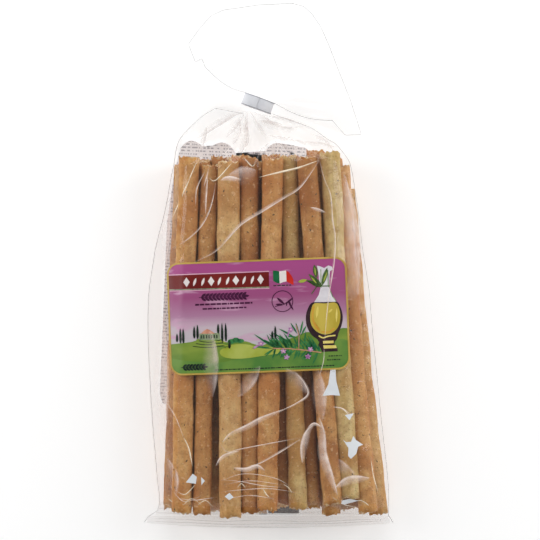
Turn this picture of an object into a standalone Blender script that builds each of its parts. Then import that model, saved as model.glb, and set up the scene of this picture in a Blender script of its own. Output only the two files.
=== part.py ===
"""A clear film bag packed with breadsticks, lying on its back with the front label up.

Frame: metres, +Z up, +Y towards the gathered mouth, +X to the right as the label is read.
Stations run along +Y from the edge of the bottom seal, which is station 0. The finished pack is
centred over the origin and rests on z = 0.

Nodes: bag (the filled film bag with its bottom seal, neck and fanned mouth), tape_band (the tape
wound round the neck), front_label, back_label and date_label.
"""

import math

import bmesh
import bpy
import numpy as np
from mathutils import Matrix

# Whole bag, in metres
SEAL_WIDTH = 0.1467
STICK_DEPTH = 0.036  # three layers of sticks
WIDEST_HEIGHT = 0.015
SEAL_THICKNESS = 0.0016
SEAL_BOW = 0.0030  # the seal's two corners are drawn up towards the sticks
SEAL_DEPTH = 0.0075
NECK_HEIGHT = 0.015  # of the neck's middle above the table

# Neck and the tape round it
NECK_TILT = math.radians(20)  # the neck leans to the right of +Y
NECK_HALF_WIDTH = 0.0083
NECK_HALF_DEPTH = 0.0042
NECK_MIDDLE = (-0.0072, 0.2482)  # x and station
TAPE_WIDTH = 0.007
TAPE_WALL = 0.0008
TAPE_POINTS = 40

# Mouth, fanned out above the tape
MOUTH_HALF_ANGLE = math.radians(82)
MOUTH_SWING = math.radians(8)  # further lean to the right at the mouth's edge
# Share of the half angle, from the right edge to the left one, and the film's reach there
MOUTH_RADII = (
    (-1.0, 0.0625), (-0.5, 0.0490), (0.05, 0.0600), (0.4, 0.0555), (0.75, 0.0560), (1.0, 0.0510),
)
MOUTH_THICKNESS = 0.0018
MOUTH_DROOP = 0.0080
MOUTH_WAVE = 0.0030
MOUTH_WAVES = 2.5
MOUTH_RINGS = 11

# Labels
LABEL_THICKNESS = 0.0004
GAP = 0.0003  # between faces that touch
FRONT_LABEL_GAP = 0.0006  # the curved film and the label have different facets
FRONT_LABEL_SIZE = (0.104, 0.065)
FRONT_LABEL_CORNER = 0.007
FRONT_LABEL_MIDDLE = (-0.007, 0.1248)  # x and station
FRONT_LABEL_TURN = math.radians(2.2)
FRONT_LABEL_CELLS = (26, 12)
BACK_LABEL_SIZE = (0.083, 0.155)
BACK_LABEL_CORNER = 0.006
BACK_LABEL_MIDDLE = (-0.0160, 0.1455)
BACK_LABEL_TURN = math.radians(-3.0)
DATE_LABEL_SIZE = (0.0235, 0.011)
DATE_LABEL_CORNER = 0.001
DATE_LABEL_MIDDLE = (0.0073, 0.0125)
CORNER_SEGMENTS = 3

# Mesh
HALF_POINTS = 23  # segments across the front of a ring, and as many across the back
DENSE_POINTS = 400
FRONT_SQUARENESS = 3.2
BACK_SQUARENESS = 6.0
ROUND = 2.0
UNDERSIDE_PRESS = 1.12  # presses the underside onto the table, so that it is flat there
FIN_SAG = 1.4  # the film hangs from the sticks' side down to the fin's edge in a slack curve

# The bag's outline: station, middle x, half width, width of the loose fin of film that lies on the
# table at the left, height of the widest point, height of the top and height of the underside.
OUTLINE = (
    (0.0000, -0.00115, SEAL_WIDTH / 2, 0.0000, 0.5 * SEAL_THICKNESS, SEAL_THICKNESS, 0.0),
    (SEAL_DEPTH, -0.0008, 0.0702, 0.0000, 0.5 * SEAL_THICKNESS, SEAL_THICKNESS, 0.0),
    (0.0095, 0.0006, 0.0682, 0.0000, 0.005, 0.014, 0.0),
    (0.0120, 0.0016, 0.0668, 0.0000, 0.010, 0.027, 0.0),
    (0.0170, 0.0018, 0.0663, 0.0005, 0.013, 0.033, 0.0),
    (0.0280, 0.0006, 0.0668, 0.0020, WIDEST_HEIGHT, STICK_DEPTH - 0.0005, 0.0),
    (0.0750, -0.0040, 0.0660, 0.0070, WIDEST_HEIGHT, STICK_DEPTH + 0.0005, 0.0),
    (0.1330, -0.0073, 0.0643, 0.0100, WIDEST_HEIGHT, STICK_DEPTH + 0.0005, 0.0),
    (0.1600, -0.0078, 0.0604, 0.0075, WIDEST_HEIGHT, STICK_DEPTH, 0.0),
    (0.1900, -0.0064, 0.0548, 0.0025, WIDEST_HEIGHT, STICK_DEPTH - 0.0005, 0.0),
    (0.2130, -0.0058, 0.0508, 0.0010, WIDEST_HEIGHT, STICK_DEPTH - 0.0015, 0.0),
    (0.2250, -0.0070, 0.0465, 0.0006, 0.0155, 0.031, 0.0),
    (0.2322, -0.0067, 0.0387, 0.0000, 0.0160, 0.028, 0.004),
    (0.2382, -0.0070, 0.0308, 0.0000, 0.0160, 0.025, 0.008),
    (0.2421, -0.0096, 0.0220, 0.0000, 0.0155, 0.0222, 0.0095),
)
# How far the film's left side has come down onto the table: 0 is not at all, 1 is flat on it.
LOOSENESS = ((0.0120, 0.0), (0.0280, 1.0), (0.2050, 1.0), (0.2322, 0.0))
# How far each ring above the sticks has turned towards the neck's lean, at the same stations.
TURN_STATIONS = (0.213, 0.225, 0.2322, 0.2382, 0.2421)
TURN_ANGLES = tuple(math.radians(a) for a in (0.0, 2.0, 5.5, 7.5, 10.0))
# Stations of the rings of the body, close together where the shape changes fast.
BODY_STATIONS = (
    0.0, 0.0040, 0.0075, 0.0085, 0.0095, 0.0105, 0.0120, 0.0142, 0.0170, 0.0215, 0.0280, 0.0400,
    0.0520, 0.0640, 0.0760, 0.0880, 0.1000, 0.1120, 0.1240, 0.1360, 0.1480, 0.1600, 0.1720, 0.1840,
    0.1950, 0.2050, 0.2130, 0.2195, 0.2250, 0.2290, 0.2322, 0.2355, 0.2382, 0.2405, 0.2421,
)


def smooth_through(stations, values):
    """A smooth curve through the values that never overshoots them, as a function of station."""
    s = np.array(stations, float)
    v = np.array(values, float)
    step = np.diff(s)
    slope = np.diff(v) / step
    before, after = slope[:-1], slope[1:]
    same_way = before * after > 0
    total = np.where(same_way, before + after, 1.0)
    tangent = np.concatenate(
        ([slope[0]], np.where(same_way, 2 * before * after / total, 0.0), [slope[-1]])
    )

    def value(x):
        k = int(np.clip(np.searchsorted(s, x) - 1, 0, len(step) - 1))
        f = (x - s[k]) / step[k]
        return float(
            (1 + 2 * f) * (1 - f) ** 2 * v[k]
            + f * (1 - f) ** 2 * step[k] * tangent[k]
            + f * f * (3 - 2 * f) * v[k + 1]
            + f * f * (f - 1) * step[k] * tangent[k + 1]
        )

    return value


COLUMNS = list(zip(*OUTLINE))
MIDDLE, HALF_WIDTH, FIN, WIDEST, TOP, UNDER = (
    smooth_through(COLUMNS[0], column) for column in COLUMNS[1:]
)
LOOSE = smooth_through(*zip(*LOOSENESS))
TURN = smooth_through(TURN_STATIONS, TURN_ANGLES)
MOUTH_RADIUS = smooth_through(*zip(*MOUTH_RADII))


def evenly(points, count):
    """count + 1 points spread evenly by length along a polyline of (across, height) pairs."""
    p = np.array(points)
    run = np.concatenate(([0.0], np.cumsum(np.linalg.norm(np.diff(p, axis=0), axis=1))))
    wanted = np.linspace(0.0, run[-1], count + 1)
    return list(zip(np.interp(wanted, run, p[:, 0]), np.interp(wanted, run, p[:, 1])))


def fullness(share, squareness):
    """Height of a rounded section at a share of its half width: 1 at the middle, 0 at the side."""
    return max(0.0, 1.0 - abs(share) ** squareness) ** (1.0 / squareness)


def stick_middle(station):
    """Middle x and half width of the packed sticks, which leave the fin on the left empty."""
    return MIDDLE(station) + FIN(station) / 2, HALF_WIDTH(station) - FIN(station) / 2


def front_height(x, station):
    """Height of the front film over the table, where the rings aren't turned."""
    middle, half = stick_middle(station)
    widest = WIDEST(station)
    return widest + (TOP(station) - widest) * fullness((x - middle) / half, FRONT_SQUARENESS)


def across(half_width):
    """Dense places from the right side to the left, closest together near the two sides."""
    return [half_width * math.cos(math.pi * i / DENSE_POINTS) for i in range(DENSE_POINTS + 1)]


def body_ring(station):
    """One ring of the filled bag: the front from right to left, then the back from left to right."""
    middle, half = MIDDLE(station), HALF_WIDTH(station)
    stick_x, stick_half = stick_middle(station)
    widest, top, under = WIDEST(station), TOP(station), UNDER(station)
    edge = min(SEAL_THICKNESS / 2, top - widest)
    loose = LOOSE(station) if LOOSENESS[0][0] < station < LOOSENESS[-1][0] else 0.0
    turn = TURN(station) if station > TURN_STATIONS[0] else 0.0
    front, back = [], []
    for a in across(half):
        share = (middle + a - stick_x) / stick_half
        end = min(1.0, (half - abs(a)) / SEAL_THICKNESS)
        rise = max((top - widest) * fullness(share, FRONT_SQUARENESS), edge * end)
        depth = UNDERSIDE_PRESS * (widest - under) * fullness(share, BACK_SQUARENESS)
        high = widest + rise
        low = max(under, widest - max(depth, edge * end))
        if share < 0.0:
            low += (under - low) * loose
        if share < -1.0 and loose > 0.0:
            out = (-1.0 - share) * stick_half / FIN(station)
            hanging = under + edge + (widest - under) * max(0.0, 1.0 - out) ** FIN_SAG
            high += (hanging - high) * loose
        front.append((a, high))
        back.append((a, low))
    bow = SEAL_BOW * max(0.0, 1.0 - station / SEAL_DEPTH)
    return [
        (x, y + bow * ((x - middle) / half) ** 2, z)
        for x, y, z in placed(front, back, middle, station, turn)
    ]


def neck_ring(along):
    """A ring of the neck, along metres above the middle of the tape on the leaning axis."""
    x = NECK_MIDDLE[0] + along * math.sin(NECK_TILT)
    station = NECK_MIDDLE[1] + along * math.cos(NECK_TILT)
    front, back = [], []
    for a in across(NECK_HALF_WIDTH):
        rise = NECK_HALF_DEPTH * fullness(a / NECK_HALF_WIDTH, ROUND)
        front.append((a, NECK_HEIGHT + rise))
        back.append((a, NECK_HEIGHT - rise))
    return placed(front, back, x, station, NECK_TILT)


def placed(front, back, x, station, turn):
    """Spreads a section's points evenly and stands it in the frame, turned clockwise about Z."""
    section = evenly(front, HALF_POINTS)[:-1] + evenly(back[::-1], HALF_POINTS)[:-1]
    return [(x + a * math.cos(turn), station - a * math.sin(turn), z) for a, z in section]


def mouth_ring(open_share):
    """A ring of the fanned mouth: 0 is the top of the neck and 1 the mouth's free edge."""
    start = TAPE_WIDTH / 2 + GAP
    foot_x = NECK_MIDDLE[0] + start * math.sin(NECK_TILT)
    foot_station = NECK_MIDDLE[1] + start * math.cos(NECK_TILT)
    lean = NECK_TILT + MOUTH_SWING * open_share
    thickness = MOUTH_THICKNESS + (2 * NECK_HALF_DEPTH - MOUTH_THICKNESS) * (1 - open_share) ** 2
    front, back = [], []
    for i in range(HALF_POINTS + 1):
        v = 2 * i / HALF_POINTS - 1  # -1 at the right edge, 1 at the left edge
        radius = MOUTH_RADIUS(v)
        reach = NECK_HALF_WIDTH + (radius - NECK_HALF_WIDTH) * open_share
        side = -reach * math.sin(MOUTH_HALF_ANGLE * v)
        ahead = radius * open_share * math.cos(MOUTH_HALF_ANGLE * v)
        x = foot_x + side * math.cos(lean) + ahead * math.sin(lean)
        station = foot_station - side * math.sin(lean) + ahead * math.cos(lean)
        wave = MOUTH_WAVE * open_share * math.cos(MOUTH_WAVES * math.pi * v)
        height = NECK_HEIGHT - MOUTH_DROOP * open_share + wave
        half = thickness / 2 * fullness(v, ROUND)
        front.append((x, station, height + half))
        back.append((x, station, height - half))
    return front[:-1] + back[::-1][:-1]


def new_object(name, mesh_builder, colour, roughness, alpha=1.0):
    """Makes one named object from a bmesh, with its own material."""
    mesh = bpy.data.meshes.new(name)
    mesh_builder.to_mesh(mesh)
    mesh_builder.free()
    mesh.shade_smooth()
    mesh.set_sharp_from_angle(angle=math.radians(35))
    material = bpy.data.materials.new(name)
    material.use_nodes = True
    shader = material.node_tree.nodes["Principled BSDF"]
    shader.inputs["Base Color"].default_value = (*colour, 1.0)
    shader.inputs["Roughness"].default_value = roughness
    shader.inputs["Metallic"].default_value = 0.0
    shader.inputs["Alpha"].default_value = alpha
    mesh.materials.append(material)
    made = bpy.data.objects.new(name, mesh)
    bpy.context.scene.collection.objects.link(made)
    made.location = PACK_SHIFT
    return made


def end_cap(bm, ring, outwards):
    """Closes a thin end ring with a strip between its front and its back."""
    last = len(ring)
    for i in range(HALF_POINTS):
        corners = [ring[i], ring[i + 1], ring[(last - i - 1) % last], ring[(last - i) % last]]
        face = list(dict.fromkeys(corners))
        bm.faces.new(face if outwards else face[::-1])


def make_bag():
    """The filled bag in one loft: seal, body, shoulders, neck and fanned mouth."""
    neck = TAPE_WIDTH / 2 + GAP
    rings = [body_ring(station) for station in BODY_STATIONS]
    rings += [neck_ring(along) for along in (-neck, 0.0, neck)]
    rings += [mouth_ring((i + 1) / MOUTH_RINGS) for i in range(MOUTH_RINGS)]
    bm = bmesh.new()
    loops = [[bm.verts.new(p) for p in ring] for ring in rings]
    for low, high in zip(loops, loops[1:]):
        for i in range(len(low)):
            j = (i + 1) % len(low)
            bm.faces.new((low[i], high[i], high[j], low[j]))
    end_cap(bm, loops[0], True)
    end_cap(bm, loops[-1], False)
    bmesh.ops.recalc_face_normals(bm, faces=bm.faces)
    return new_object("bag", bm, (0.62, 0.40, 0.19), 0.25, 0.9)


def slab(name, size, corner, middle, turn, grow, colour):
    """A thin plate with round corners, flush with the underside, grown all round by a margin."""
    bm = bmesh.new()
    bmesh.ops.create_cube(bm, size=1.0)
    bmesh.ops.scale(
        bm,
        vec=(size[0] + 2 * grow, size[1] + 2 * grow, LABEL_THICKNESS + 2 * grow),
        verts=bm.verts,
    )
    upright = [e for e in bm.edges if abs(e.verts[0].co.z - e.verts[1].co.z) > LABEL_THICKNESS / 2]
    bmesh.ops.bevel(
        bm, geom=upright, offset=corner + grow, segments=CORNER_SEGMENTS, affect="EDGES", profile=0.5
    )
    bmesh.ops.rotate(bm, cent=(0, 0, 0), matrix=Matrix.Rotation(turn, 3, "Z"), verts=bm.verts)
    bmesh.ops.translate(bm, vec=(*middle, LABEL_THICKNESS / 2), verts=bm.verts)
    return new_object(name, bm, colour, 0.45)


def flat_label(bag, name, size, corner, middle, turn, colour):
    """A label on the underside, flush with it, in a pocket of its own."""
    cutter = slab(name + "_pocket", size, corner, middle, turn, GAP, (1.0, 1.0, 1.0))
    cutter.hide_render = True
    cutter.display_type = "WIRE"
    cut = bag.modifiers.new(name, "BOOLEAN")
    cut.operation = "DIFFERENCE"
    cut.solver = "EXACT"
    cut.object = cutter
    return slab(name, size, corner, middle, turn, 0.0, colour)


def make_tape_band():
    """The tape wound round the neck: an oval sleeve that stands a hair clear of the film."""
    bm = bmesh.new()
    loops = []
    for along, grow in (
        (-TAPE_WIDTH / 2, GAP),
        (-TAPE_WIDTH / 2, GAP + TAPE_WALL),
        (TAPE_WIDTH / 2, GAP + TAPE_WALL),
        (TAPE_WIDTH / 2, GAP),
    ):
        loop = []
        for i in range(TAPE_POINTS):
            angle = 2 * math.pi * i / TAPE_POINTS
            a = (NECK_HALF_WIDTH + grow) * math.cos(angle)
            rise = (NECK_HALF_DEPTH + grow) * math.sin(angle)
            x = NECK_MIDDLE[0] + a * math.cos(NECK_TILT) + along * math.sin(NECK_TILT)
            station = NECK_MIDDLE[1] - a * math.sin(NECK_TILT) + along * math.cos(NECK_TILT)
            loop.append(bm.verts.new((x, station, NECK_HEIGHT + rise)))
        loops.append(loop)
    for k, low in enumerate(loops):
        high = loops[(k + 1) % len(loops)]
        for i in range(TAPE_POINTS):
            j = (i + 1) % TAPE_POINTS
            bm.faces.new((low[i], high[i], high[j], low[j]))
    bmesh.ops.recalc_face_normals(bm, faces=bm.faces)
    return new_object("tape_band", bm, (0.72, 0.72, 0.74), 0.35)


def make_front_label():
    """The front label: a thin rectangle with round corners that lies along the front film.

    Its rows and columns crowd towards its edges, where its corners turn and the film falls away.
    """
    columns, rows = FRONT_LABEL_CELLS
    half_x, half_y = FRONT_LABEL_SIZE[0] / 2, FRONT_LABEL_SIZE[1] / 2
    cos, sin = math.cos(FRONT_LABEL_TURN), math.sin(FRONT_LABEL_TURN)
    bm = bmesh.new()
    faces_of = []
    for lift in (FRONT_LABEL_GAP, FRONT_LABEL_GAP + LABEL_THICKNESS):
        grid = []
        for r in range(rows + 1):
            up = half_y * math.sin(math.pi / 2 * (2 * r / rows - 1))
            into_corner = max(0.0, abs(up) - (half_y - FRONT_LABEL_CORNER))
            cut = FRONT_LABEL_CORNER - math.sqrt(FRONT_LABEL_CORNER**2 - into_corner**2)
            line = []
            for c in range(columns + 1):
                out = (half_x - cut) * math.sin(math.pi / 2 * (2 * c / columns - 1))
                x = FRONT_LABEL_MIDDLE[0] + out * cos - up * sin
                station = FRONT_LABEL_MIDDLE[1] + out * sin + up * cos
                line.append(bm.verts.new((x, station, front_height(x, station) + lift)))
            grid.append(line)
        for low, high in zip(grid, grid[1:]):
            for c in range(columns):
                bm.faces.new((low[c], low[c + 1], high[c + 1], high[c]))
        rim = [*grid[0], *(g[-1] for g in grid[1:-1]), *grid[-1][::-1], *(g[0] for g in grid[-2:0:-1])]
        faces_of.append(rim)
    under, over = faces_of
    for i in range(len(under)):
        j = (i + 1) % len(under)
        bm.faces.new((under[i], under[j], over[j], over[i]))
    bmesh.ops.recalc_face_normals(bm, faces=bm.faces)
    return new_object("front_label", bm, (0.45, 0.13, 0.28), 0.3)


def bag_extent():
    """Lowest and highest x and station of the bag, from its rings."""
    rings = [body_ring(station) for station in BODY_STATIONS] + [mouth_ring(1.0)]
    points = np.array([p for ring in rings for p in ring])
    return points[:, :2].min(axis=0), points[:, :2].max(axis=0)


for old in list(bpy.data.objects):
    bpy.data.objects.remove(old)

LOWEST, HIGHEST = bag_extent()
PACK_SHIFT = (-(LOWEST[0] + HIGHEST[0]) / 2, -(LOWEST[1] + HIGHEST[1]) / 2, 0.0)

bag = make_bag()
make_tape_band()
make_front_label()
flat_label(
    bag,
    "back_label",
    BACK_LABEL_SIZE,
    BACK_LABEL_CORNER,
    BACK_LABEL_MIDDLE,
    BACK_LABEL_TURN,
    (0.80, 0.79, 0.78),
)
flat_label(
    bag, "date_label", DATE_LABEL_SIZE, DATE_LABEL_CORNER, DATE_LABEL_MIDDLE, 0.0, (0.06, 0.06, 0.07)
)
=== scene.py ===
import math
import random

import bmesh
import bpy
import numpy as np
from mathutils import Matrix, Vector, noise
from mathutils.bvhtree import BVHTree


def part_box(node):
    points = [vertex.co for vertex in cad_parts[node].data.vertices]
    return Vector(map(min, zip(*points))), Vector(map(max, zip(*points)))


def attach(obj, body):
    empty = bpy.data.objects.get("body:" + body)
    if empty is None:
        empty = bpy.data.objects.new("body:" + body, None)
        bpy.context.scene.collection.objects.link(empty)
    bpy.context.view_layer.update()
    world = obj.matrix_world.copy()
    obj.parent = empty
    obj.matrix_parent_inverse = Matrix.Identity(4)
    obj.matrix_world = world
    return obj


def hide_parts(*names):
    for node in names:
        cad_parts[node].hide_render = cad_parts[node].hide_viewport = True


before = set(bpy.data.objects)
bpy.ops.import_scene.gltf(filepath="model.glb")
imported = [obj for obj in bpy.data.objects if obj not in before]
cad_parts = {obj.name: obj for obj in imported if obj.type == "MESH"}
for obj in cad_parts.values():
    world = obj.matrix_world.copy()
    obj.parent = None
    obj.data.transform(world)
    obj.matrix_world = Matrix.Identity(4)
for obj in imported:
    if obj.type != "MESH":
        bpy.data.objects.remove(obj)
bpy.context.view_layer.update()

# ---- Breadsticks ---------------------------------------------------------------------------
# Rods of yeast dough with rosemary, stretched by hand and baked hard on a belt, then snapped to
# length, which leaves ragged ends. They lie in three layers that fan out towards the foot.

MM = 0.001
STICK_SIDES = 22
# name: x at foot and head, y at foot and head, height at foot and head, width, depth, dough
FRONT_LAYER = {
    "stick_front_1": (-50.5, -46.3, -142.8, 61.4, 26.2, 26.0, 12.0, 10.8, "golden"),
    "stick_front_2": (-38.6, -34.4, -143.4, 57.3, 26.4, 25.2, 10.4, 10.0, "brown"),
    "stick_front_3": (-21.6, -23.4, -145.1, 59.4, 29.2, 29.0, 13.0, 11.4, "straw"),
    "stick_front_4": (-10.5, -11.3, -142.8, 61.5, 27.0, 27.0, 10.8, 10.4, "brown"),
    "stick_front_5": (-0.7, 2.5, -141.6, 60.8, 29.8, 29.6, 12.2, 11.2, "golden"),
    "stick_front_6": (17.2, 11.6, -140.5, 62.5, 27.0, 24.4, 10.6, 10.2, "olive"),
    "stick_front_7": (37.4, 21.8, -138.2, 62.0, 28.6, 28.8, 11.6, 10.8, "brown"),
    "stick_front_8": (46.9, 35.2, -134.7, 64.8, 26.4, 27.2, 11.6, 10.8, "olive"),
    "stick_front_9": (57.6, 41.2, -142.8, 56.7, 23.2, 19.8, 11.2, 10.6, "golden"),
}
MIDDLE_LAYER = {
    "stick_middle_1": (-56.0, -50.0, -139.3, 56.1, 15.6, 15.4, 10.8, 10.4, "brown"),
    "stick_middle_2": (-48.0, -39.2, -141.0, 60.0, 15.6, 14.8, 10.8, 10.0, "brown"),
    "stick_middle_3": (-40.0, -28.4, -138.0, 62.0, 15.8, 15.4, 10.4, 10.0, "brown"),
    "stick_middle_4": (-21.0, -16.6, -142.0, 63.0, 17.4, 17.2, 10.8, 10.0, "golden"),
    "stick_middle_5": (-9.6, -10.0, -140.0, 55.0, 16.2, 15.6, 10.8, 10.0, "golden"),
    "stick_middle_6": (8.4, 1.4, -139.0, 63.5, 19.0, 18.0, 11.2, 10.0, "brown"),
    "stick_middle_7": (25.4, 15.2, -140.2, 60.5, 20.4, 14.2, 9.4, 9.4, "brown"),
    "stick_middle_8": (36.4, 27.4, -144.5, 66.0, 17.2, 17.0, 11.0, 10.0, "golden"),
    "stick_middle_9": (50.4, 37.4, -141.0, 61.0, 15.0, 14.6, 10.4, 9.6, "brown"),
    "stick_middle_10": (63.8, 44.6, -144.5, 43.4, 14.6, 9.4, 10.8, 10.0, "straw"),
}
BACK_LAYER = {
    "stick_back_1": (-56.0, -50.0, -142.0, 58.0, 6.2, 6.0, 11.0, 9.6, "golden"),
    "stick_back_2": (-43.6, -39.6, -141.0, 61.0, 6.2, 6.0, 10.6, 9.6, "brown"),
    "stick_back_3": (-31.4, -29.2, -143.0, 59.0, 6.2, 6.2, 10.6, 9.6, "golden"),
    "stick_back_4": (-18.8, -18.8, -140.0, 62.0, 6.2, 6.2, 10.4, 9.6, "straw"),
    "stick_back_5": (-6.2, -8.4, -144.0, 60.0, 6.4, 6.2, 10.6, 9.8, "brown"),
    "stick_back_6": (6.6, 2.0, -141.0, 61.5, 6.2, 6.2, 10.4, 9.6, "golden"),
    "stick_back_7": (19.2, 12.4, -142.0, 58.5, 6.2, 6.0, 10.6, 9.6, "golden"),
    "stick_back_8": (31.0, 22.8, -140.5, 61.0, 6.2, 6.2, 10.6, 9.6, "brown"),
    "stick_back_9": (43.0, 33.2, -142.5, 59.5, 6.2, 6.0, 10.8, 9.6, "straw"),
}


def clouds(name, size, depth=1):
    """A soft procedural texture that shapes dough; size is that of one lump."""
    texture = bpy.data.textures.new(name, "CLOUDS")
    texture.noise_scale = size
    texture.noise_depth = depth
    return texture


CRUST_LUMPS = clouds("crust_lumps", 16 * MM)
CRUST_GRAIN = clouds("crust_grain", 2.6 * MM, 2)
STRETCH = clouds("stretch", 90 * MM)
SNAP = clouds("snap", 1.7 * MM, 2)


def displace(piece, texture, direction, strength, group=""):
    """Moves a piece's surface by a texture and applies the result."""
    push = piece.modifiers.new(texture.name, "DISPLACE")
    push.texture = texture
    push.direction = direction
    push.strength = strength
    push.vertex_group = group
    bpy.ops.object.modifier_apply(modifier=push.name)


def settle(piece):
    """Leaves a finished piece's object at the origin, with its place in its mesh."""
    bpy.ops.object.transform_apply(location=True, rotation=True, scale=True)
    piece.data.shade_smooth()


def bake_stick(name, foot, head, width, depth, cuts):
    """Stretches one rod between two points, then gives it lumps, a wander and snapped ends."""
    length = (head - foot).length
    bpy.ops.object.select_all(action="DESELECT")
    bpy.ops.mesh.primitive_cylinder_add(vertices=STICK_SIDES, radius=width / 2, depth=length)
    stick = bpy.context.object
    stick.name = name
    bpy.ops.object.mode_set(mode="EDIT")
    bpy.ops.mesh.select_mode(type="EDGE")
    bpy.ops.mesh.select_all(action="DESELECT")
    rod = bmesh.from_edit_mesh(stick.data)
    for edge in rod.edges:
        edge.select_set(abs(edge.verts[0].co.z - edge.verts[1].co.z) > length / 2)
    bmesh.update_edit_mesh(stick.data)
    bpy.ops.mesh.subdivide(number_cuts=cuts)
    bpy.ops.mesh.select_mode(type="FACE")
    bpy.ops.mesh.select_all(action="DESELECT")
    rod = bmesh.from_edit_mesh(stick.data)
    for face in rod.faces:
        face.select_set(abs(face.normal.z) > 0.9)
    bmesh.update_edit_mesh(stick.data)
    bpy.ops.mesh.inset(thickness=0.14 * width)
    bpy.ops.mesh.inset(thickness=0.12 * width)
    bpy.ops.transform.shrink_fatten(value=-0.6 * MM)
    bpy.ops.object.mode_set(mode="OBJECT")
    ends = stick.vertex_groups.new(name="ends")
    for vertex in stick.data.vertices:
        reach = (length / 2 - abs(vertex.co.z)) / (4 * MM)
        if reach < 1.0:
            ends.add([vertex.index], 1.0 - max(reach, 0.0), "REPLACE")
    along = (head - foot).normalized()
    across = along.cross(Vector((0, 0, 1))).normalized()
    turn = Matrix((across, along.cross(across), along)).transposed().to_4x4()
    flatten = Matrix.Diagonal((1.0, depth / width, 1.0, 1.0))
    stick.matrix_world = Matrix.Translation((foot + head) / 2) @ turn @ flatten
    settle(stick)
    displace(stick, STRETCH, "X", 1.8 * MM)
    displace(stick, CRUST_LUMPS, "NORMAL", 1.5 * MM)
    displace(stick, CRUST_GRAIN, "NORMAL", 0.45 * MM)
    displace(stick, SNAP, "Y", 6.0 * MM, "ends")
    for polygon in stick.data.polygons:
        from_middle = abs(polygon.center.y - (foot.y + head.y) / 2)
        if from_middle > 0.48 * length and abs(polygon.normal.y) > 0.7:
            polygon.material_index = 1
    return stick


def linear(red, green, blue):
    """A colour as it is seen, in steps of 255, as the linear light that a shader takes."""
    return tuple(((c / 255 + 0.055) / 1.055) ** 2.4 for c in (red, green, blue)) + (1.0,)


def shader(name, roughness):
    """A new material and its Principled shader, with its constant roughness set."""
    material = bpy.data.materials.new(name)
    material.use_nodes = True
    principled = material.node_tree.nodes["Principled BSDF"]
    principled.inputs["Roughness"].default_value = roughness
    return material, principled


def node(material, kind, **settings):
    """Adds a node and sets its properties and its inputs' constants."""
    made = material.node_tree.nodes.new(kind)
    for key, value in settings.items():
        if key.startswith("in_"):
            made.inputs[key[3:].replace("_", " ")].default_value = value
        else:
            setattr(made, key, value)
    return made


def link(material, output, target):
    """Joins two sockets of a material."""
    material.node_tree.links.new(output, target)


def blend_colours(material, factor, first, second):
    """Mixes two colours or colour outputs by a factor output."""
    mix = node(material, "ShaderNodeMix", data_type="RGBA")
    link(material, factor, mix.inputs[0])
    for value, target in ((first, mix.inputs[6]), (second, mix.inputs[7])):
        if isinstance(value, tuple):
            target.default_value = value
        else:
            link(material, value, target)
    return mix.outputs[2]


def noise_band(material, place, scale, low, high, detail=3.0):
    """Noise in Object coordinates, spread so that low becomes 0 and high becomes 1."""
    texture = node(material, "ShaderNodeTexNoise", in_Scale=scale, in_Detail=detail)
    link(material, place, texture.inputs["Vector"])
    spread = node(material, "ShaderNodeMapRange")
    spread.inputs["From Min"].default_value = low
    spread.inputs["From Max"].default_value = high
    link(material, texture.outputs["Fac"], spread.inputs["Value"])
    return spread.outputs["Result"]


def dough(name, crust, browned, pale):
    """Baked dough: a streaky crust with browned patches, pale flour marks and fine dark grain."""
    material, principled = shader(name, 0.6)
    place = node(material, "ShaderNodeTexCoord").outputs["Object"]
    stretched = node(material, "ShaderNodeMapping")
    stretched.inputs["Scale"].default_value = (1.0, 0.14, 1.0)
    link(material, place, stretched.inputs["Vector"])
    streaks = noise_band(material, stretched.outputs["Vector"], 240.0, 0.36, 0.64)
    patches = noise_band(material, place, 34.0, 0.40, 0.62)
    blotches = noise_band(material, place, 190.0, 0.48, 0.66)
    flour = noise_band(material, place, 420.0, 0.60, 0.70)
    grain = noise_band(material, place, 900.0, 0.56, 0.72, 2.0)
    colour = blend_colours(material, streaks, crust, pale)
    colour = blend_colours(material, patches, colour, browned)
    for cover, share, tone in (
        (blotches, 0.45, tuple(0.72 * c for c in browned[:3]) + (1.0,)),
        (flour, 0.40, linear(230, 194, 150)),
        (grain, 0.50, tuple(0.45 * c for c in browned[:3]) + (1.0,)),
    ):
        part = node(material, "ShaderNodeMath", operation="MULTIPLY")
        part.inputs[1].default_value = share
        link(material, cover, part.inputs[0])
        colour = blend_colours(material, part.outputs[0], colour, tone)
    link(material, colour, principled.inputs["Base Color"])
    relief = node(material, "ShaderNodeBump", in_Strength=0.35, in_Distance=0.35 * MM)
    link(material, noise_band(material, place, 620.0, 0.2, 0.8, 5.0), relief.inputs["Height"])
    link(material, relief.outputs["Normal"], principled.inputs["Normal"])
    principled.inputs["Subsurface Weight"].default_value = 0.08
    principled.inputs["Subsurface Scale"].default_value = 1.5 * MM
    principled.inputs["Specular IOR Level"].default_value = 0.25
    return material


DOUGHS = {
    "golden": dough("golden_crust", linear(198, 142, 80), linear(178, 114, 58), linear(210, 164, 104)),
    "brown": dough("brown_crust", linear(184, 126, 68), linear(160, 100, 50), linear(198, 150, 92)),
    "straw": dough("straw_crust", linear(202, 158, 100), linear(186, 130, 72), linear(216, 180, 124)),
    "olive": dough("olive_crust", linear(192, 160, 100), linear(178, 130, 72), linear(212, 186, 130)),
}
CRUMB, crumb_shader = shader("broken_crumb", 0.8)
crumb_shader.inputs["Subsurface Weight"].default_value = 0.1
crumb_shader.inputs["Subsurface Scale"].default_value = 1.5 * MM
crumb_place = node(CRUMB, "ShaderNodeTexCoord").outputs["Object"]
crumb_holes = noise_band(CRUMB, crumb_place, 900.0, 0.35, 0.6)
crumb_tone = blend_colours(CRUMB, crumb_holes, linear(160, 112, 66), linear(216, 186, 140))
link(CRUMB, crumb_tone, crumb_shader.inputs["Base Color"])

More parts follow.
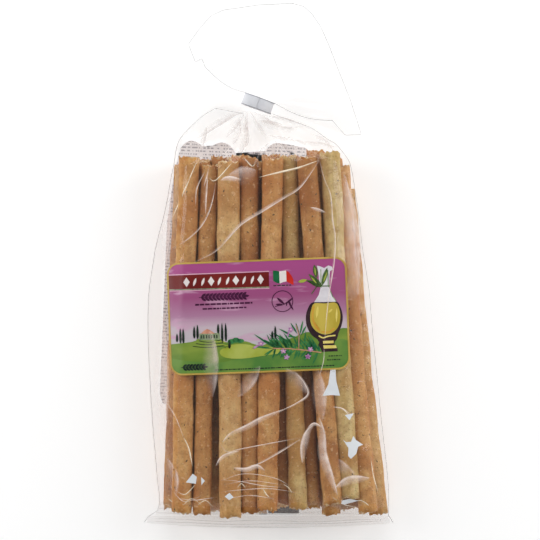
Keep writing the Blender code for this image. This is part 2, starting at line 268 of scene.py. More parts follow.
sticks = []
for layer, cuts in ((FRONT_LAYER, 78), (MIDDLE_LAYER, 52), (BACK_LAYER, 40)):
    for name, (foot_x, head_x, foot_y, head_y, foot_z, head_z, width, depth, kind) in layer.items():
        foot = Vector((foot_x, foot_y, foot_z)) * MM
        head = Vector((head_x, head_y, head_z)) * MM
        stick = bake_stick(name, foot, head, width * MM, depth * MM, cuts)
        stick.data.materials.append(DOUGHS[kind])
        stick.data.materials.append(CRUMB)
        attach(stick, "root")
        sticks.append(stick)


# ---- Rosemary and blisters -----------------------------------------------------------------
# Chopped rosemary needles baked into the crust, and the small pale blisters and flour specks
# beside them. One needle and one blister are shaped, then copied over all the sticks.


def sprinkle(name, proportions, per_stick, sizes, finish, seed):
    """Copies one small grain many times over the sticks' crust, half sunk in, as one mesh."""
    bpy.ops.object.select_all(action="DESELECT")
    bpy.ops.mesh.primitive_ico_sphere_add(subdivisions=1, radius=1.0)
    pattern = bpy.context.object
    pattern.scale = proportions
    bpy.ops.object.transform_apply(location=True, rotation=True, scale=True)
    shape = np.array([v.co for v in pattern.data.vertices])
    sides = np.array([p.vertices for p in pattern.data.polygons])
    bpy.data.objects.remove(pattern)
    random.seed(seed)
    corners, faces = [], []
    for stick in sticks:
        crust = [p for p in stick.data.polygons if p.material_index == 0]
        for polygon in random.choices(crust, k=per_stick):
            turn = polygon.normal.to_track_quat("Z", "Y")
            spin = Matrix.Rotation(random.uniform(0, 2 * math.pi), 3, "Z")
            size = random.uniform(*sizes)
            pose = np.array(turn.to_matrix() @ spin) * size
            faces.append(sides + len(shape) * len(corners))
            corners.append(shape @ pose.T + np.array(polygon.center))
    data = bpy.data.meshes.new(name)
    data.from_pydata(np.concatenate(corners).tolist(), [], np.concatenate(faces).tolist())
    data.shade_smooth()
    data.materials.append(finish)
    grains = bpy.data.objects.new(name, data)
    bpy.context.scene.collection.objects.link(grains)
    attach(grains, "root")


def plain_tone(name, dark, light, roughness, scale=900.0):
    """A matt finish that wanders between two tones."""
    material, principled = shader(name, roughness)
    place = node(material, "ShaderNodeTexCoord").outputs["Object"]
    wander = noise_band(material, place, scale, 0.3, 0.7)
    link(material, blend_colours(material, wander, dark, light), principled.inputs["Base Color"])
    return material


ROSEMARY = plain_tone("baked_rosemary", linear(62, 56, 30), linear(96, 72, 40), 0.7)
BLISTER = plain_tone("pale_blister", linear(214, 172, 116), linear(236, 206, 160), 0.55)
sprinkle("rosemary_flecks", (1.7, 0.8, 0.5), 44, (0.24 * MM, 0.56 * MM), ROSEMARY, 21)
sprinkle("crust_blisters", (1.2, 0.9, 0.5), 44, (0.18 * MM, 0.42 * MM), BLISTER, 22)


# ---- Film bag ------------------------------------------------------------------------------
# A clear film tube, heat-sealed across its foot. The sticks hold its front out like a drum skin,
# its loose side lies on the table as a fin, and its head is drawn together into the neck.

BAG_LOW, BAG_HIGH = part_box("bag")
# station up from the seal's edge, middle, half width, fin, widest height, top and underside
BAG_OUTLINE = np.array(
    (
        (0.0, 0.0, 73.35, 0.0, 0.8, 1.6, 0.0),
        (7.5, 0.35, 70.2, 0.0, 0.8, 1.6, 0.0),
        (9.5, 1.75, 68.6, 0.0, 5.0, 14.0, 0.0),
        (12.0, 2.95, 67.3, 0.0, 10.0, 27.0, 0.0),
        (17.0, 3.2, 66.9, 0.5, 13.0, 33.0, 0.0),
        (28.0, 2.3, 67.4, 2.0, 15.0, 35.5, 0.0),
        (75.0, -2.1, 66.8, 7.0, 15.0, 36.5, 0.0),
        (133.0, -5.6, 64.9, 10.0, 15.0, 36.5, 0.0),
        (160.0, -5.8, 61.2, 7.5, 15.0, 36.0, 0.0),
        (190.0, -4.1, 55.8, 2.5, 15.0, 35.5, 0.0),
        (213.0, -3.9, 51.6, 1.0, 15.0, 34.5, 0.0),
        (225.0, -5.85, 46.5, 0.6, 15.5, 31.0, 0.0),
        (232.2, -5.55, 38.7, 0.0, 16.0, 28.0, 4.0),
        (238.2, -5.85, 30.8, 0.0, 16.0, 25.0, 8.0),
        (242.1, -8.45, 22.0, 0.0, 15.5, 22.2, 9.5),
    )
) * MM
SEAL_THICKNESS = 1.6 * MM
SEAL_BOW = 3.0 * MM
SEAL_DEPTH = 7.5 * MM
FRONT_COLUMNS = 120
BACK_COLUMNS = 40
FILM_LIFT = 0.60 * MM


def smooth_through(knots, values):
    """A smooth curve through values at knots that never overshoots them."""
    step = np.diff(knots)
    slope = np.diff(values) / step
    rising = slope[:-1] * slope[1:] > 0
    total = np.where(rising, slope[:-1] + slope[1:], 1.0)
    inner = np.where(rising, 2 * slope[:-1] * slope[1:] / total, 0.0)
    tangent = np.concatenate((slope[:1], inner, slope[-1:]))

    def value(x):
        k = np.clip(np.searchsorted(knots, x) - 1, 0, len(step) - 1)
        f = np.clip((x - knots[k]) / step[k], 0.0, 1.0)
        return (
            (1 + 2 * f) * (1 - f) ** 2 * values[k]
            + f * (1 - f) ** 2 * step[k] * tangent[k]
            + f * f * (3 - 2 * f) * values[k + 1]
            + f * f * (f - 1) * step[k] * tangent[k + 1]
        )

    return value


BAG_MIDDLE, BAG_HALF, BAG_FIN, BAG_WIDEST, BAG_TOP, BAG_UNDER = (
    smooth_through(BAG_OUTLINE[:, 0], column) for column in BAG_OUTLINE.T[1:]
)
BAG_LOOSE = smooth_through(np.array((12, 28, 205, 232.2)) * MM, np.array((0.0, 1.0, 1.0, 0.0)))
BAG_TURN = smooth_through(
    np.array((213, 225, 232.2, 238.2, 242.1)) * MM, np.radians((0.0, 2.0, 5.5, 7.5, 10.0))
)


def bag_section(station, across):
    """Heights of the front and the back film at places across the bag."""
    middle, half = BAG_MIDDLE(station), BAG_HALF(station)
    fin, loose = BAG_FIN(station), BAG_LOOSE(station)
    widest, top, under = BAG_WIDEST(station), BAG_TOP(station), BAG_UNDER(station)
    edge = min(SEAL_THICKNESS / 2, top - widest)
    share = (across - fin / 2) / (half - fin / 2)
    end = np.clip((half - abs(across)) / SEAL_THICKNESS, 0.0, 1.0)
    full = np.clip(1 - abs(share) ** 3.2, 0, 1) ** (1 / 3.2)
    flat = np.clip(1 - abs(share) ** 6, 0, 1) ** (1 / 6)
    front = widest + np.maximum((top - widest) * full, edge * end)
    back = np.maximum(under, widest - np.maximum(1.12 * (widest - under) * flat, edge * end))
    back = np.where(share < 0, back + (under - back) * loose, back)
    out = np.clip((-1 - share) * (half - fin / 2) / max(fin, 1e-9), 0, 1)
    hanging = under + edge + (widest - under) * (1 - out) ** 1.4
    front = np.where((share < -1) & (loose > 0), front + (hanging - front) * loose, front)
    return front, back


def spread(across, heights, count):
    """The same section with its points spread evenly by length."""
    run = np.concatenate(([0.0], np.cumsum(np.hypot(np.diff(across), np.diff(heights)))))
    wanted = np.linspace(0.0, run[-1], count + 1)
    return np.interp(wanted, run, across), np.interp(wanted, run, heights)


def tree_of(pieces):
    """All the pieces' surfaces in one tree, for finding what lies under a place."""
    corners, faces = [], []
    for piece in pieces:
        first = len(corners)
        corners += [tuple(v.co) for v in piece.data.vertices]
        faces += [tuple(first + i for i in p.vertices) for p in piece.data.polygons]
    return BVHTree.FromPolygons(corners, faces)


stick_tree = tree_of(sticks)
DRAPE_STEP = 0.9 * MM
ENDS_MARGIN = 3  # steps that the taut film keeps from the ragged ends
drape_x = np.arange(BAG_LOW.x - 2 * MM, BAG_HIGH.x + 2 * MM, DRAPE_STEP)
drape_station = np.arange(0.0, 233 * MM, DRAPE_STEP)


def stretch_over_sticks():
    """Height of the taut front film on a grid: it touches the sticks and bridges their gaps."""
    height = np.zeros((len(drape_station), len(drape_x)))
    free = np.zeros(height.shape, bool)
    support = np.full(height.shape, -1.0)
    for row, station in enumerate(drape_station):
        middle, half = BAG_MIDDLE(station), BAG_HALF(station)
        across = np.clip(drape_x - middle, -half, half)
        height[row] = bag_section(station, across)[0]
        free[row] = (abs(drape_x - middle) < half - 1.2 * MM) & (station > 9 * MM)
    free[-2:] = False
    for row, station in enumerate(drape_station):
        for column, x in enumerate(drape_x):
            if free[row, column]:
                from_above = Vector((x, station + BAG_LOW.y, 0.1))
                hit = stick_tree.ray_cast(from_above, Vector((0, 0, -1)))[0]
                if hit is not None:
                    support[row, column] = hit.z + FILM_LIFT
    ragged = support < 0
    for _ in range(ENDS_MARGIN):
        ragged[1:-1] |= ragged[:-2] | ragged[2:]
    support = np.where(ragged, -1.0, support)
    for _ in range(1400):
        mean = height.copy()
        mean[1:-1, 1:-1] = 0.25 * (
            height[:-2, 1:-1] + height[2:, 1:-1] + height[1:-1, :-2] + height[1:-1, 2:]
        )
        height = np.where(free, np.maximum(mean, support), height)
    for _ in range(8):
        mean = height.copy()
        mean[1:-1, 1:-1] = 0.25 * (
            height[:-2, 1:-1] + height[2:, 1:-1] + height[1:-1, :-2] + height[1:-1, 2:]
        )
        height = np.where(free, mean, height)
    return height


drape = stretch_over_sticks()


def film_height(x, y):
    """Height of the front film over the table at places in the frame."""
    u = np.clip((x - drape_x[0]) / DRAPE_STEP, 0, len(drape_x) - 1.001)
    v = np.clip((y - BAG_LOW.y) / DRAPE_STEP, 0, len(drape_station) - 1.001)
    i, j = u.astype(int), v.astype(int)
    fu, fv = u - i, v - j
    low = drape[j, i] * (1 - fu) + drape[j, i + 1] * fu
    high = drape[j + 1, i] * (1 - fu) + drape[j + 1, i + 1] * fu
    return low * (1 - fv) + high * fv


def film_rings():
    """The bag's rings from the seal to inside the tape, right to left in front, then back again."""
    stations = np.concatenate(
        (np.linspace(0, 12, 13), np.linspace(12.8, 222, 220), np.linspace(222.8, 242.1, 26))
    ) * MM
    rings = []
    for station in stations:
        middle, half = BAG_MIDDLE(station), BAG_HALF(station)
        dense = half * np.cos(np.linspace(0, np.pi, 400))
        front, back = bag_section(station, dense)
        turn = BAG_TURN(station) if station > 213 * MM else 0.0
        bow = SEAL_BOW * max(0.0, 1 - station / SEAL_DEPTH)
        ring = []
        for side, count in ((front, FRONT_COLUMNS), (back, BACK_COLUMNS)):
            reach, height = spread(dense, side, count)
            x = middle + reach * math.cos(turn)
            y = station + BAG_LOW.y - reach * math.sin(turn) + bow * (reach / half) ** 2
            if side is front:
                fade = np.clip((station - 223 * MM) / (8 * MM), 0, 1)
                rim = np.clip((half - abs(reach)) / (3 * MM), 0, 1)
                draped = height + (film_height(x, y) - height) * rim
                height = draped + (height - draped) * fade if station > 9 * MM else height
                ring.append(np.stack((x, y, height + pleats(x, y)), axis=1)[:-1])
            else:
                ring.append(np.stack((x, y, height), axis=1)[::-1][:-1])
        rings.append(np.concatenate(ring))
    last = rings[-1]
    for along in np.linspace(-6.0, 1.0, 8) * MM:
        neck = []
        for count, rise in ((FRONT_COLUMNS, 1), (BACK_COLUMNS, -1)):
            angle = np.linspace(0, math.pi, count + 1)
            reach = NECK_HALF_WIDTH * np.cos(angle) * rise
            height = NECK_HEIGHT + rise * NECK_HALF_DEPTH * np.sin(angle)
            x = NECK_MIDDLE.x + reach * math.cos(NECK_TILT) + along * math.sin(NECK_TILT)
            y = NECK_MIDDLE.y - reach * math.sin(NECK_TILT) + along * math.cos(NECK_TILT)
            neck.append(np.stack((x, y, height), axis=1)[:-1])
        share = np.clip((along + 6.5 * MM) / (3 * MM), 0, 1)
        rings.append(last + (np.concatenate(neck) - last) * share)
    return rings


def pleats(x, y):
    """Gathers that fan out from the neck over the shoulders, in height."""
    out_x, out_y = x - NECK_MIDDLE.x, y - NECK_MIDDLE.y
    away = np.hypot(out_x, out_y)
    angle = np.arctan2(out_x, -out_y)
    depth = 0.8 * MM * np.clip((48 * MM - away) / (30 * MM), 0, 1)
    wave = np.sin(15 * angle + 1.6 * np.sin(4 * angle)) + 0.5 * np.sin(37 * angle + 1.0)
    return depth * wave * np.clip(away / (9 * MM), 0, 1)


def loft(name, tubes, wavy_ends=False):
    """A closed piece through rings of the same count, with both ends of each tube filled.

    A wavy end is filled rung by rung between the front and the back half of its ring.
    """
    mesh = bmesh.new()
    for rings in tubes:
        count = len(rings[0])
        loops = [[mesh.verts.new(p) for p in ring] for ring in rings]
        for low, high in zip(loops, loops[1:]):
            for i in range(count):
                j = (i + 1) % count
                mesh.faces.new((low[i], high[i], high[j], low[j]))
        for end in (loops[0], loops[-1]):
            if not wavy_ends:
                mesh.faces.new(end)
                continue
            for i in range(count // 2):
                rung = dict.fromkeys((i, i + 1, count - i - 1, (count - i) % count))
                mesh.faces.new([end[k] for k in rung])
    bmesh.ops.recalc_face_normals(mesh, faces=mesh.faces)
    data = bpy.data.meshes.new(name)
    mesh.to_mesh(data)
    mesh.free()
    data.shade_smooth()
    made = bpy.data.objects.new(name, data)
    bpy.context.scene.collection.objects.link(made)
    return made


def film(name, shine, rim_shine, haze, tint, roughness=0.05):
    """Clear film: mostly see-through, with a window-like shine and a little white haze."""
    material = bpy.data.materials.new(name)
    material.use_nodes = True
    tree = material.node_tree
    tree.nodes.remove(tree.nodes["Principled BSDF"])
    clear = node(material, "ShaderNodeBsdfTransparent")
    milk = node(material, "ShaderNodeBsdfDiffuse")
    milk.inputs["Color"].default_value = tint
    gloss = node(material, "ShaderNodeBsdfGlossy", in_Roughness=roughness)
    body = node(material, "ShaderNodeMixShader")
    body.inputs[0].default_value = haze
    link(material, clear.outputs[0], body.inputs[1])
    link(material, milk.outputs[0], body.inputs[2])
    facing = node(material, "ShaderNodeLayerWeight", in_Blend=0.5)
    grazing = node(material, "ShaderNodeMath", operation="POWER")
    grazing.inputs[1].default_value = 5.0
    link(material, facing.outputs["Facing"], grazing.inputs[0])
    boost = node(material, "ShaderNodeMath", operation="MULTIPLY_ADD", use_clamp=True)
    boost.inputs[1].default_value = rim_shine
    boost.inputs[2].default_value = shine
    link(material, grazing.outputs[0], boost.inputs[0])
    surface = node(material, "ShaderNodeMixShader")
    link(material, boost.outputs[0], surface.inputs[0])
    link(material, body.outputs[0], surface.inputs[1])
    link(material, gloss.outputs[0], surface.inputs[2])
    link(material, surface.outputs[0], tree.nodes["Material Output"].inputs["Surface"])
    return material


def fix_film(piece, finish):
    """Gives a piece of film its finish and lets light through it unweakened, as thin film does."""
    piece.data.materials.append(finish)
    piece.visible_shadow = False
    piece.visible_diffuse = False
    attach(piece, "root")


NECK_TILT = math.radians(20)
NECK_MIDDLE = Vector((-6.05 * MM, 248.2 * MM + BAG_LOW.y))
NECK_HALF_WIDTH = 8.3 * MM
NECK_HALF_DEPTH = 4.2 * MM
NECK_HEIGHT = 15.0 * MM
CLEAR_FILM = film("clear_film", 0.032, 0.45, 0.017, linear(240, 232, 230), 0.10)
film_bag = loft("film_bag", [film_rings()])
fix_film(film_bag, CLEAR_FILM)
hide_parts("bag")


# ---- Mouth ---------------------------------------------------------------------------------
# The loose end of the tube above the tape, two layers of the same film pressed together and
# fanned out in pleats. Its cut edge is a fine bead painted grey: a painted line of the reflection that
# edge-on film shows.

MOUTH_FOOT = NECK_MIDDLE + 3.6 * MM * Vector((math.sin(NECK_TILT), math.cos(NECK_TILT)))
# the cut edge and its folded corners, from the right end of the neck round to the left
MOUTH_EDGE = np.array(
    (
        (37.4, 84.3), (44.7, 75.6), (54.2, 75.9), (47.3, 97.9), (41.5, 112.4), (35.7, 127.5),
        (30.4, 139.1), (25.2, 146.6), (20.6, 150.6), (13.6, 152.6), (-6.1, 151.9), (-26.4, 149.0),
        (-33.3, 145.5), (-39.7, 138.5), (-46.7, 128.6), (-42.6, 118.2), (-39.1, 120.5), (-36.8, 115.3),
    )
) * MM
MOUTH_SAG = 3.0 * MM  # how far the folded sides bow in between the neck and the corners
MOUTH_COLUMNS = 150
MOUTH_RINGS = 36


def mouth_line(spread_share):
    """Places across one line of the fan, right to left, with the pleats that fold it."""
    v = np.linspace(-1, 1, MOUTH_COLUMNS + 1)
    run = np.concatenate(([0.0], np.cumsum(np.hypot(*np.diff(MOUTH_EDGE, axis=0).T))))
    wanted = (v + 1) / 2 * run[-1]
    end_x, end_y = (np.interp(wanted, run, MOUTH_EDGE[:, axis]) for axis in (0, 1))
    start_x = MOUTH_FOOT.x - v * NECK_HALF_WIDTH * math.cos(NECK_TILT)
    start_y = MOUTH_FOOT.y + v * NECK_HALF_WIDTH * math.sin(NECK_TILT)
    x = start_x + (end_x - start_x) * spread_share
    y = start_y + (end_y - start_y) * spread_share
    y -= MOUTH_SAG * math.sin(math.pi * spread_share) * abs(v) ** 8
    height = NECK_HEIGHT - 8 * MM * spread_share + 3 * MM * spread_share * np.cos(2.5 * np.pi * v)
    pleat = np.sin(21 * v + 1.3 * np.sin(5 * v)) + 0.6 * np.sin(47 * v + 2.0)
    height += 0.55 * MM * pleat * math.sin(math.pi * min(1.0, spread_share * 1.15)) ** 0.7
    crumple = [noise.noise(Vector((a * 60, b * 60, 3.0))) for a, b in zip(x, y)]
    return x, y, height + 2.2 * MM * spread_share * np.array(crumple)


def mouth_rings():
    """Rings of the flattened fan, from inside the tape to its cut edge."""
    rings = []
    v = np.linspace(-1, 1, MOUTH_COLUMNS + 1)
    for spread_share in np.linspace(-0.06, 1.0, MOUTH_RINGS):
        inside = min(spread_share, 0.0) * 60 * MM
        x, y, height = mouth_line(max(spread_share, 0.0))
        x = x + inside * math.sin(NECK_TILT)
        y = y + inside * math.cos(NECK_TILT)
        thick = 1.2 * MM + (2 * NECK_HALF_DEPTH - 1.2 * MM) * (1 - max(spread_share, 0.0)) ** 6
        half = thick / 2 * np.sqrt(1 - v**2)
        front = np.stack((x, y, height + half), axis=1)
        back = np.stack((x, y, height - half), axis=1)
        rings.append(np.concatenate((front, back[-2:0:-1])))
    return rings


MOUTH_FILM = film("mouth_film", 0.02, 0.10, 0.006, linear(240, 238, 236), 0.12)
mouth = loft("film_mouth", [mouth_rings()], wavy_ends=True)
fix_film(mouth, MOUTH_FILM)


def thread(points, radius, sides=6):
    """Rings of a fine closed bead of film along a line of points."""
    points = [Vector(p) for p in points]
    rings = []
    for i, place in enumerate(points):
        along = (points[min(i + 1, len(points) - 1)] - points[max(i - 1, 0)]).normalized()
        side = along.cross(Vector((0, 0, 1))).normalized()
        rise = side.cross(along)
        angles = [2 * math.pi * k / sides for k in range(sides)]
        rings.append([place + radius * (side * math.cos(a) + rise * math.sin(a)) for a in angles])
    return rings


def milky_haze_and_painted_sheen(name, opacity, colour, roughness=0.35, fades_painted_highlight=False):
    """Film with a soft cover over what lies behind it: the seal's real haze, and painted highlights, shade
    and edge lines.
    """
    material, principled = shader(name, roughness)
    place = node(material, "ShaderNodeTexCoord").outputs["Object"]
    uneven = noise_band(material, place, 240.0, 0.2, 0.8)
    paler = tuple(min(1.0, 1.12 * c) for c in colour[:3]) + (1.0,)
    link(material, blend_colours(material, uneven, colour, paler), principled.inputs["Base Color"])
    principled.inputs["Alpha"].default_value = opacity
    # a fold's painted light fades across it and towards its ends by its attribute, and breaks into streaks
    if fades_painted_highlight:
        strength = node(material, "ShaderNodeAttribute", attribute_name="fold_painted_highlight")
        streaks = noise_band(material, place, 120.0, 0.15, 0.60)
        patchy = node(material, "ShaderNodeMath", operation="MULTIPLY")
        link(material, strength.outputs["Fac"], patchy.inputs[0])
        link(material, streaks, patchy.inputs[1])
        cover = node(material, "ShaderNodeMath", operation="MULTIPLY", use_clamp=True)
        cover.inputs[1].default_value = opacity
        link(material, patchy.outputs[0], cover.inputs[0])
        link(material, cover.outputs[0], principled.inputs["Alpha"])
    return material


# a fine bead along the cut edge and the folded sides, painted grey as a painted edge-on reflection
PAINTED_EDGE_LINE = milky_haze_and_painted_sheen("painted_cut_edge_line", 0.5, linear(198, 197, 197))
EDGE_BEAD = 0.17 * MM
edge_x, edge_y, edge_z = mouth_line(1.0)
hem = loft("mouth_edge", [thread(zip(edge_x, edge_y, edge_z), EDGE_BEAD)])
sides_of_mouth = []
for column in (0, MOUTH_COLUMNS):
    lines = [mouth_line(s) for s in np.linspace(0.02, 1.0, 30)]
    sides_of_mouth.append(thread([(x[column], y[column], z[column]) for x, y, z in lines], EDGE_BEAD))
mouth_folds = loft("mouth_side_folds", sides_of_mouth)
bag_sides = []
for side in (-1, 1):
    line = []
    for station in np.linspace(1 * MM, 241.5 * MM, 160):
        turn = BAG_TURN(station) if station > 213 * MM else 0.0
        bow = SEAL_BOW * max(0.0, 1 - station / SEAL_DEPTH)
        reach = side * (BAG_HALF(station) - 0.1 * MM)
        height = BAG_WIDEST(station)
        if side < 0:
            height += (BAG_UNDER(station) + SEAL_THICKNESS / 2 - height) * BAG_LOOSE(station)
        x = BAG_MIDDLE(station) + reach * math.cos(turn)
        line.append((x, station + BAG_LOW.y - reach * math.sin(turn) + bow, height))
    line.append((NECK_MIDDLE.x + side * NECK_HALF_WIDTH, NECK_MIDDLE.y - 6 * MM, NECK_HEIGHT))
    bag_sides.append(thread(line, EDGE_BEAD))
bag_folds = loft("bag_side_folds", bag_sides)
# the beads along the edges get the painted grey edge line
for piece in (hem, mouth_folds, bag_folds):
    fix_film(piece, PAINTED_EDGE_LINE)


# ---- Tape band -----------------------------------------------------------------------------
# A silver-grey wire tie in a paper-thin tape, wound once round the neck with its end overlapping.
# The wires show as a darker line along both of its long edges.

BAND_WIDTH = 7.0 * MM
WIRE_WIDTH = 0.32 * MM
WIRE_PROUD = 0.75 * MM
BAND_LOW, BAND_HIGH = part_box("tape_band")
band_middle = (BAND_LOW + BAND_HIGH) / 2


def neck_sleeve(name, along, width, grow, segments=64):
    """An oval ring of tape round the leaning neck, from a tube that is scaled and given a wall."""
    bpy.ops.object.select_all(action="DESELECT")
    bpy.ops.mesh.primitive_cylinder_add(
        vertices=segments, radius=1.0, depth=width, end_fill_type="NOTHING"
    )
    sleeve = bpy.context.object
    sleeve.name = name
    sleeve.scale = (NECK_HALF_WIDTH + grow, NECK_HALF_DEPTH + grow, 1.0)
    bpy.ops.object.transform_apply(location=False, rotation=False, scale=True)
    bpy.ops.object.mode_set(mode="EDIT")
    bpy.ops.mesh.select_all(action="SELECT")
    bpy.ops.mesh.normals_make_consistent(inside=False)
    bpy.ops.object.mode_set(mode="OBJECT")
    wall = sleeve.modifiers.new("wall", "SOLIDIFY")
    wall.thickness = 0.35 * MM
    wall.offset = 1.0
    bpy.ops.object.modifier_apply(modifier=wall.name)
    soft = sleeve.modifiers.new("soft", "BEVEL")
    soft.width = 0.14 * MM
    soft.segments = 2
    bpy.ops.object.modifier_apply(modifier=soft.name)
    lean = Matrix.Rotation(-NECK_TILT, 4, "Z") @ Matrix.Rotation(math.radians(-90), 4, "X")
    sleeve.matrix_world = Matrix.Translation(band_middle) @ lean @ Matrix.Translation((0, 0, along))
    settle(sleeve)
    bpy.ops.object.shade_smooth_by_angle(angle=math.radians(35))
    return sleeve


TAPE_FINISH = plain_tone("silver_tape", linear(212, 214, 220), linear(230, 231, 236), 0.4, 160.0)
WIRE_FINISH = plain_tone("tape_wire", linear(128, 130, 138), linear(158, 160, 168), 0.45, 400.0)
tape = neck_sleeve("tape_sleeve", 0.0, BAND_WIDTH, 0.3 * MM)
for vertex in tape.data.vertices:
    vertex.co.z += 0.30 * MM * math.sin((vertex.co.x - band_middle.x) / (2.2 * MM))
tape.data.materials.append(TAPE_FINISH)
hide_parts("tape_band")
tape_end = neck_sleeve("tape_overlap", 0.15 * MM, BAND_WIDTH - 0.2 * MM, 0.60 * MM)
bpy.ops.object.mode_set(mode="EDIT")
bpy.ops.mesh.select_all(action="SELECT")
bpy.ops.mesh.bisect(
    plane_co=band_middle, plane_no=(-math.cos(NECK_TILT), math.sin(NECK_TILT), 0),
    use_fill=True, clear_outer=False, clear_inner=True,
)
bpy.ops.object.mode_set(mode="OBJECT")
tape_end.data.materials.append(TAPE_FINISH)
wire_out = BAND_WIDTH / 2 - 0.30 * MM  # from the middle of the band to a wire
wire_low = neck_sleeve("tape_wire_low", -wire_out, WIRE_WIDTH, WIRE_PROUD)
wire_high = neck_sleeve("tape_wire_high", wire_out, WIRE_WIDTH, WIRE_PROUD)
for wire in (wire_low, wire_high):
    wire.data.materials.append(WIRE_FINISH)
for piece in (tape, tape_end, wire_low, wire_high):
    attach(piece, "root")


# ---- Front label ---------------------------------------------------------------------------
# A gloss paper label with round corners, stuck on the film over the sticks, which it bridges. It
# is printed with a sky, a hillside with cypresses, a flask of oil and a sprig of rosemary.

LABEL_LOW, LABEL_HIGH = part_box("front_label")
LABEL_MIDDLE = (LABEL_LOW + LABEL_HIGH) / 2
LABEL_TURN = math.radians(2.2)
LABEL_HALF = (52.0, 32.5)  # in mm, as are all places on the label, from its middle
LABEL_CORNER = 7.0
PAPER = 0.16 * MM
INK = 0.03 * MM  # from one layer of ink to the next, and how far ink sinks into the paper
label_u = np.arange(-54, 55) * 1.0
label_v = np.arange(-34, 35) * 1.0


def on_table(u, v):
    """Where a place on the label, in mm from its middle, lies in the frame."""
    x = LABEL_MIDDLE.x + (u * math.cos(LABEL_TURN) - v * math.sin(LABEL_TURN)) * MM
    y = LABEL_MIDDLE.y + (u * math.sin(LABEL_TURN) + v * math.cos(LABEL_TURN)) * MM
    return x, y


def taut_paper():
    """Heights of the paper: it rests on the film's high places and bridges the low ones."""
    grid_u, grid_v = np.meshgrid(label_u, label_v)
    rest = film_height(*on_table(grid_u, grid_v)) + 0.30 * MM
    height = rest.copy()
    for _ in range(90):
        edge = np.pad(height, 1, mode="edge")
        mean = 0.25 * (edge[:-2, 1:-1] + edge[2:, 1:-1] + edge[1:-1, :-2] + edge[1:-1, 2:])
        height = np.maximum(rest, mean)
    return height


paper_height = taut_paper()


def on_label(u, v, lift):
    """A point of the frame over a place on the label."""
    column = min(max(u - label_u[0], 0.0), len(label_u) - 1.001)
    row = min(max(v - label_v[0], 0.0), len(label_v) - 1.001)
    i, j = int(column), int(row)
    fu, fv = column - i, row - j
    low = paper_height[j, i] * (1 - fu) + paper_height[j, i + 1] * fu
    high = paper_height[j + 1, i] * (1 - fu) + paper_height[j + 1, i + 1] * fu
    x, y = on_table(u, v)
    return x, y, low * (1 - fv) + high * fv + lift


def thin_sheet(name, outlines, placing, top, thickness, cell=1.0):
    """A closed thin sheet on a curved surface: outlines are cut on a grid, placed and thickened."""
    mesh = bmesh.new()
    for outline in outlines:
        mesh.faces.new([mesh.verts.new((u, v, 0.0)) for u, v in outline])
    bmesh.ops.triangulate(mesh, faces=mesh.faces)
    for axis in (0, 1):
        values = [v.co[axis] for v in mesh.verts]
        normal = Vector((1 - axis, axis, 0))
        for k in range(math.ceil(min(values) / cell), math.floor(max(values) / cell) + 1):
            parts = [*mesh.verts, *mesh.edges, *mesh.faces]
            bmesh.ops.bisect_plane(mesh, geom=parts, plane_co=normal * k * cell, plane_no=normal)
    bmesh.ops.recalc_face_normals(mesh, faces=mesh.faces)
    flipped = [f for f in mesh.faces if f.normal.z < 0]
    bmesh.ops.reverse_faces(mesh, faces=flipped)
    mesh.verts.index_update()
    count = len(mesh.verts)
    places = [(v.co.x, v.co.y) for v in mesh.verts]
    corners = [placing(u, v, top) for u, v in places]
    corners += [placing(u, v, top - thickness) for u, v in places]
    faces = []
    for face in mesh.faces:
        ring = [v.index for v in face.verts]
        faces.append(ring)
        faces.append([i + count for i in reversed(ring)])
    for loop in (loop for face in mesh.faces for loop in face.loops):
        if loop.edge.is_boundary:
            a, b = loop.vert.index, loop.link_loop_next.vert.index
            faces.append([b, a, a + count, b + count])
    mesh.free()
    data = bpy.data.meshes.new(name)
    data.from_pydata(corners, [], faces)
    made = bpy.data.objects.new(name, data)
    bpy.context.scene.collection.objects.link(made)
    return made


def smooth_line(points, step=1.2, closed=False):
    """A soft curve through places, in mm, with a point about every step."""
    points = [Vector(p) for p in points]
    if closed:
        padded = [points[-1], *points, points[0], points[1]]
    else:
        padded = [2 * points[0] - points[1], *points, 2 * points[-1] - points[-2]]
    line = []
    for a, b, c, d in zip(padded, padded[1:], padded[2:], padded[3:]):
        count = max(2, math.ceil((c - b).length / step))
        for k in range(count):
            t = k / count
            curve = 2 * b + (c - a) * t + (2 * a - 5 * b + 4 * c - d) * t * t
            line.append(0.5 * (curve + (3 * b - a - 3 * c + d) * t**3))
    return line if closed else [*line, points[-1]]


def flowing(points, step=1.2, closed=False):
    """A soft line through places on the label, as plain pairs."""
    return [(p.x, p.y) for p in smooth_line(points, step, closed)]


def rounded(points):
    """A smooth closed outline through places on the label."""
    return flowing(points, 0.8, closed=True)


def round_rectangle(half_u, half_v, corner, steps=8):
    """Outline of a rectangle with round corners, anticlockwise from its right side."""
    outline = []
    for k, (side_u, side_v) in enumerate(((1, 1), (-1, 1), (-1, -1), (1, -1))):
        for step in range(steps + 1):
            angle = math.pi / 2 * (k + step / steps)
            u = side_u * (half_u - corner) + corner * math.cos(angle)
            v = side_v * (half_v - corner) + corner * math.sin(angle)
            outline.append((u, v))
    return outline


def bar(u0, v0, u1, v1):
    """A plain rectangle between two corners."""
    return [(u0, v0), (u1, v0), (u1, v1), (u0, v1)]


def oval(u, v, half_u, half_v, count=24, start=0.0, end=2 * math.pi):
    """An oval, or the part of one between two angles."""
    angles = [start + (end - start) * k / count for k in range(count)]
    return [(u + half_u * math.cos(a), v + half_v * math.sin(a)) for a in angles]


def leaf(base, tip, width):
    """A pointed leaf between two places."""
    (u0, v0), (u1, v1) = base, tip
    length = math.hypot(u1 - u0, v1 - v0)
    across = (-(v1 - v0) / length, (u1 - u0) / length)
    outline = []
    for side, steps in ((1, range(0, 7)), (-1, range(6, 0, -1))):
        for k in steps:
            t = k / 6
            out = side * width / 2 * math.sin(math.pi * t) ** 0.8
            outline.append((u0 + (u1 - u0) * t + across[0] * out, v0 + (v1 - v0) * t + across[1] * out))
    return outline[:7] + outline[8:]


